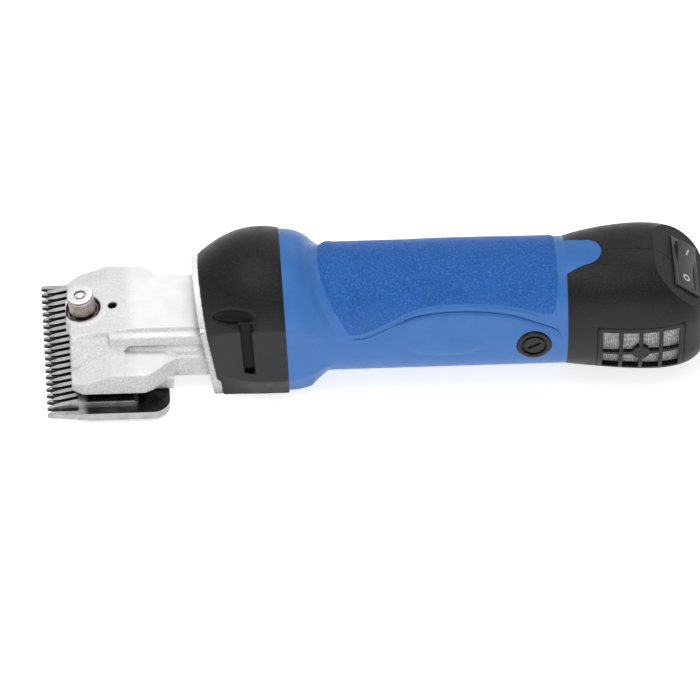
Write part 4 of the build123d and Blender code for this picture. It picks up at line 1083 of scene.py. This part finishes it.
def rocker_face(side):
    """Place and slope of the rocker's face in the middle of one wing."""
    low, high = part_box("switch_rocker")
    out = Vector((math.sin(SWITCH_SLOPE), 0, math.cos(SWITCH_SLOPE)))
    start = (low + high) / 2 + Vector((0, 1, 0)) * side * 7 * MM + out * 30 * MM
    hit, normal, _, _ = outside_of("switch_rocker").ray_cast(start, -out)
    if hit is None:
        raise RuntimeError("no rocker face under the mark")
    return hit, normal


def rocker_stroke():
    """Raised stroke on the wing that switches on."""
    hit, normal = rocker_face(1)
    return bar("stroke", hit + normal * 0.05 * MM, Vector((1.6 * MM, 0.35 * MM, 0.15 * MM)),
               normal.to_track_quat("Z", "Y").to_matrix())


def rocker_ring():
    """Raised ring on the wing that switches off."""
    hit, normal = rocker_face(-1)
    profile = [(1.15 * MM, -0.1 * MM), (1.85 * MM, -0.1 * MM), (1.85 * MM, 0.15 * MM), (1.15 * MM, 0.15 * MM)]
    return lathe("ring", profile, hit, normal, 40)


# ------------------------------------------------------------------ operators
def settings(context):
    scene = context.scene
    return scene.shears_colours, scene.shears_sizes, scene.shears_stage


class SHEARS_OT_stage(bpy.types.Operator):
    """Pale floor, soft lamps and the camera"""
    bl_idname = "shears.stage"
    bl_label = "Set the stage"

    def execute(self, context):
        stage = settings(context)[2]
        scene = context.scene
        scene.view_settings.view_transform = "Standard"
        add_floor()
        light_world(scene)
        add_lamp("key_lamp", (-0.15, 0.05, 1.0), 0.8, stage.light)
        add_lamp("low_lamp", (0.05, -0.9, 0.25), 0.8, stage.fill)
        add_lamp("rear_lamp", (0.3, 0.8, 0.6), 0.6, stage.light * 0.25)
        add_camera(scene, stage)
        return {"FINISHED"}


class SHEARS_OT_blades(bpy.types.Operator):
    """Ground steel of the comb, the cutter and their screws, with painted shade between and behind the teeth
    """
    bl_idname = "shears.blades"
    bl_label = "Finish the blades"

    def execute(self, context):
        colours = settings(context)[0]
        for name, polish in (("comb", 1.0), ("cutter", 1.1)):
            bright = shade(colours.blade, polish)
            half_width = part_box(name)[1].y
            dress(blade_steel(name + "_steel", bright, colours.oiled, on_tool(TOOTH_ROOT), half_width), name)
        stainless = ground_steel("stainless", (0.62, 0.6, 0.59), along=(1, 1, 0.15), roughness=0.3)
        dress(stainless, "comb_screws", "head_screws")
        return {"FINISHED"}


class SHEARS_OT_head(bpy.types.Operator):
    """Cast aluminium of the head, with its edges rounded, and the bearing plate"""
    bl_idname = "shears.head"
    bl_label = "Finish the head casting"

    def execute(self, context):
        colours = settings(context)[0]
        cast = cast_aluminium(colours.casting, colours.rough_and_shaded_casting)
        dress(cast, "bearing_plate")
        mesh = softened("head_casting", 0.45 * MM, passes=3, keep=0.5)
        add_piece("head_cast_skin", mesh, "head_casting", [cast], ["head_casting"], sharp=60)
        return {"FINISHED"}


class SHEARS_OT_knob(bpy.types.Operator):
    """Tension knob with its ribs, the sleeve, the pin and the coil spring"""
    bl_idname = "shears.knob"
    bl_label = "Finish the tension knob"

    def execute(self, context):
        colours, sizes, _ = settings(context)
        steel = turned_steel("knob_steel", colours.knob, colours.knob_side)
        dark = ground_steel("sleeve_steel", shade(colours.knob_side, 0.6), along=(1, 1, 0.15), roughness=0.35)
        add_piece("knob_ribbed", knob_mesh(), "tension_knob", [steel], ["tension_knob"], sharp=35)
        add_piece("knob_spring", spring_mesh(sizes.spring_wire), "tension_spring", [dark], ["tension_spring"],
                  sharp=60)
        dress(dark, "tension_sleeve", "tension_pin")
        return {"FINISHED"}


class SHEARS_OT_drive(bpy.types.Operator):
    """Oiled steel of the fork, crank, gears and bearings"""
    bl_idname = "shears.drive"
    bl_label = "Finish the drive"

    def execute(self, context):
        steel = ground_steel("oiled_steel", (0.38, 0.38, 0.4), along=(1, 0.2, 1), roughness=0.34)
        dress(steel, "fork_lever", "fork_finger_right", "fork_finger_left", "fulcrum_post", "fulcrum_washer",
              "drive_gear", "crank_shaft", "crank_roller", "armature_shaft", "armature_bearing_outer_rings",
              "armature_bearing_inner_rings", "crank_bearing_outer_rings", "crank_bearing_inner_rings")
        return {"FINISHED"}


class SHEARS_OT_motor(bpy.types.Operator):
    """Windings, stamped cores, brush gear and fan of the motor"""
    bl_idname = "shears.motor"
    bl_label = "Finish the motor"

    def execute(self, context):
        dress(copper_wire(), "armature_windings", "commutator", "field_windings")
        dress(laminated_steel(), "armature_core", "stator_core")
        brass = ground_steel("holder_brass", (0.7, 0.52, 0.24), along=(1, 0.2, 1), roughness=0.32)
        carbon = moulded("carbon", (0.04, 0.04, 0.04), grain=0.3 * MM, roughness=0.6)
        for _, side in SIDES:
            dress(brass, "brush_holder_" + side, "brush_spring_" + side)
            dress(carbon, "carbon_brush_" + side)
        dress(moulded("fan_plastic", (0.25, 0.25, 0.26), grain=0.4 * MM, roughness=0.5), "cooling_fan")
        return {"FINISHED"}


class SHEARS_OT_casing(bpy.types.Operator):
    """Blue motor casing with its grip panel, and the two brush caps"""
    bl_idname = "shears.casing"
    bl_label = "Finish the motor casing"

    def execute(self, context):
        colours, sizes, _ = settings(context)
        smooth = moulded("blue_plastic", colours.casing, grain=0.7 * MM, roughness=0.34, depth=0.02,
                         specular=0.16, speckle=0.08)
        grain = moulded("blue_grained", colours.grip, grain=0.75 * MM, roughness=0.46, depth=0.18,
                        specular=0.10, speckle=0.5)
        add_piece("casing_skin", casing_skin(sizes), "motor_casing", [smooth, grain], ["motor_casing"],
                  sharp=65)
        black = moulded("cap_plastic", colours.housing, grain=0.6 * MM, roughness=0.3, depth=0.03,
                        specular=0.12)
        for side, name in SIDES:
            node = "brush_cap_" + name
            add_piece("screwed_cap_" + name, cap_mesh(node, side), node, [black], [node], sharp=35)
        return {"FINISHED"}


class SHEARS_OT_covers(bpy.types.Operator):
    """Black gear housing, rear cover, filter covers with their gauze, and the gland"""
    bl_idname = "shears.covers"
    bl_label = "Finish the black covers"

    def execute(self, context):
        colours, sizes, _ = settings(context)
        black = moulded("black_plastic", colours.housing, grain=1.0 * MM, roughness=0.44, depth=0.12,
                        specular=0.12, speckle=0.4)
        slotted = lined_plastic("housing_plastic", colours.housing, housing_lines)
        # painted shade: the faces inside the cooling slots get this nearly black plastic without sheen
        unlit = moulded("slot_black", shade(colours.housing, 0.1), grain=1.0 * MM, roughness=0.9, depth=0.12,
                        specular=0.0, speckle=0.1)
        add_piece("gear_housing_skin", housing_skin(), "gear_housing", [slotted, unlit], ["gear_housing"],
                  sharp=60)
        dress(lined_plastic("cover_plastic", colours.housing, cover_lines), "rear_cover")
        wire = gauze(colours.gauze, sizes.gauze_pitch)
        for side, name in SIDES:
            node = "filter_cover_" + name
            add_piece("filter_frame_" + name, bevelled(node, 0.25 * MM), node, [black], [node], sharp=35)
            add_piece("filter_gauze_" + name, gauze_mesh(node, side), node, [wire])
        rubber = moulded("gland_rubber", (0.02, 0.02, 0.02), grain=0.6 * MM, roughness=0.62, specular=0.3)
        dress(rubber, "cord_gland")
        return {"FINISHED"}


class SHEARS_OT_switch(bpy.types.Operator):
    """Glossy switch body and rocker, with the stroke and ring of on and off"""
    bl_idname = "shears.switch"
    bl_label = "Finish the switch"

    def execute(self, context):
        gloss = moulded("switch_plastic", (0.016, 0.016, 0.018), grain=0.4 * MM, roughness=0.26, depth=0.02)
        white = moulded("mark_paint", (0.62, 0.62, 0.62), grain=0.3 * MM, roughness=0.5, depth=0.01)
        for node in ("switch_body", "switch_rocker"):
            add_piece(node + "_soft", bevelled(node, 0.22 * MM), node, [gloss], [node], sharp=35)
        add_piece("rocker_ring", rocker_ring(), "switch_rocker", [white], sharp=35)
        add_piece("rocker_stroke", rocker_stroke(), "switch_rocker", [white], sharp=35)
        return {"FINISHED"}


# ------------------------------------------------------------------ stage
def add_floor():
    reach = 20 * LENGTH
    corners = [(-reach, -reach, 0), (reach, -reach, 0), (reach, reach, 0), (-reach, reach, 0)]
    mesh = mesh_from("floor", corners, [(0, 1, 2, 3)])
    floor = bpy.data.objects.new("floor", mesh)
    bpy.context.scene.collection.objects.link(floor)
    s = Shader("pale_floor", Roughness=0.9)
    s.specular(0.0)
    s.colour(s.blend(s.noise(0.2, 2), (0.80, 0.80, 0.80), (0.82, 0.82, 0.82)))
    s.feed(s.base.inputs["Emission Color"], (1.0, 1.0, 1.0, 1.0))
    s.feed(s.base.inputs["Emission Strength"], s.times(s.seen(), 0.68))
    floor.data.materials.append(s.material)


def light_world(scene):
    """White where it is seen, and a plain level of light on the tool."""
    world = bpy.data.worlds.new("studio")
    scene.world = world
    world.use_nodes = True
    s = Nodes(world.node_tree)
    strength = s.span(s.seen(), 0.0, 1.0, 0.42, 1.0)
    background = s.node("Background", {"Color": (1, 1, 1, 1), "Strength": strength})
    s.node("OutputWorld", {"Surface": background.outputs[0]})


def add_lamp(name, place, size, power):
    lamp = bpy.data.lights.new(name, "AREA")
    lamp.shape = "DISK"
    lamp.size = size
    lamp.energy = power
    obj = bpy.data.objects.new(name, lamp)
    obj.location = place
    obj.rotation_mode = "QUATERNION"
    obj.rotation_quaternion = (Vector(place) - AXIS).to_track_quat("Z", "Y")
    bpy.context.scene.collection.objects.link(obj)


def add_camera(scene, stage):
    az, el = stage.azimuth, stage.elevation
    back = Vector((math.sin(az) * math.cos(el), -math.cos(az) * math.cos(el), math.sin(el)))
    right = Vector((math.cos(az), math.sin(az), 0))
    up = back.cross(right)
    aim = AXIS + Vector((stage.aim_x, 0, 0)) - up * stage.aim_drop
    camera = bpy.data.cameras.new("camera")
    camera.lens = camera.sensor_width * stage.distance / stage.width_seen
    camera.clip_start = 0.01
    obj = bpy.data.objects.new("camera", camera)
    turned = (Matrix.Rotation(stage.roll, 3, back) @ Matrix((right, up, back)).transposed()).to_4x4()
    obj.matrix_world = Matrix.Translation(aim + back * stage.distance) @ turned
    scene.collection.objects.link(obj)
    scene.camera = obj


# ------------------------------------------------------------------ panel and run
STEPS = (SHEARS_OT_stage, SHEARS_OT_blades, SHEARS_OT_head, SHEARS_OT_knob, SHEARS_OT_drive, SHEARS_OT_motor,
         SHEARS_OT_casing, SHEARS_OT_covers, SHEARS_OT_switch)


class SHEARS_PT_panel(bpy.types.Panel):
    """Lists the shears' settings and steps"""
    bl_label = "Sheep shears"
    bl_idname = "SHEARS_PT_panel"
    bl_space_type = "VIEW_3D"
    bl_region_type = "UI"
    bl_category = "Shears"

    def draw(self, context):
        for group in settings(context):
            box = self.layout.box()
            for name in group.__annotations__:
                box.prop(group, name)
        for step in STEPS:
            self.layout.operator(step.bl_idname)


CLASSES = (ShearsColours, ShearsSizes, ShearsStage, *STEPS, SHEARS_PT_panel)


def register():
    for cls in CLASSES:
        bpy.utils.register_class(cls)
    bpy.types.Scene.shears_colours = bpy.props.PointerProperty(type=ShearsColours)
    bpy.types.Scene.shears_sizes = bpy.props.PointerProperty(type=ShearsSizes)
    bpy.types.Scene.shears_stage = bpy.props.PointerProperty(type=ShearsStage)


def unregister():
    del bpy.types.Scene.shears_stage
    del bpy.types.Scene.shears_sizes
    del bpy.types.Scene.shears_colours
    for cls in reversed(CLASSES):
        bpy.utils.unregister_class(cls)


def main():
    register()
    for step in STEPS:
        group, name = step.bl_idname.split(".")
        getattr(getattr(bpy.ops, group), name)()


if __name__ == "__main__":
    main()
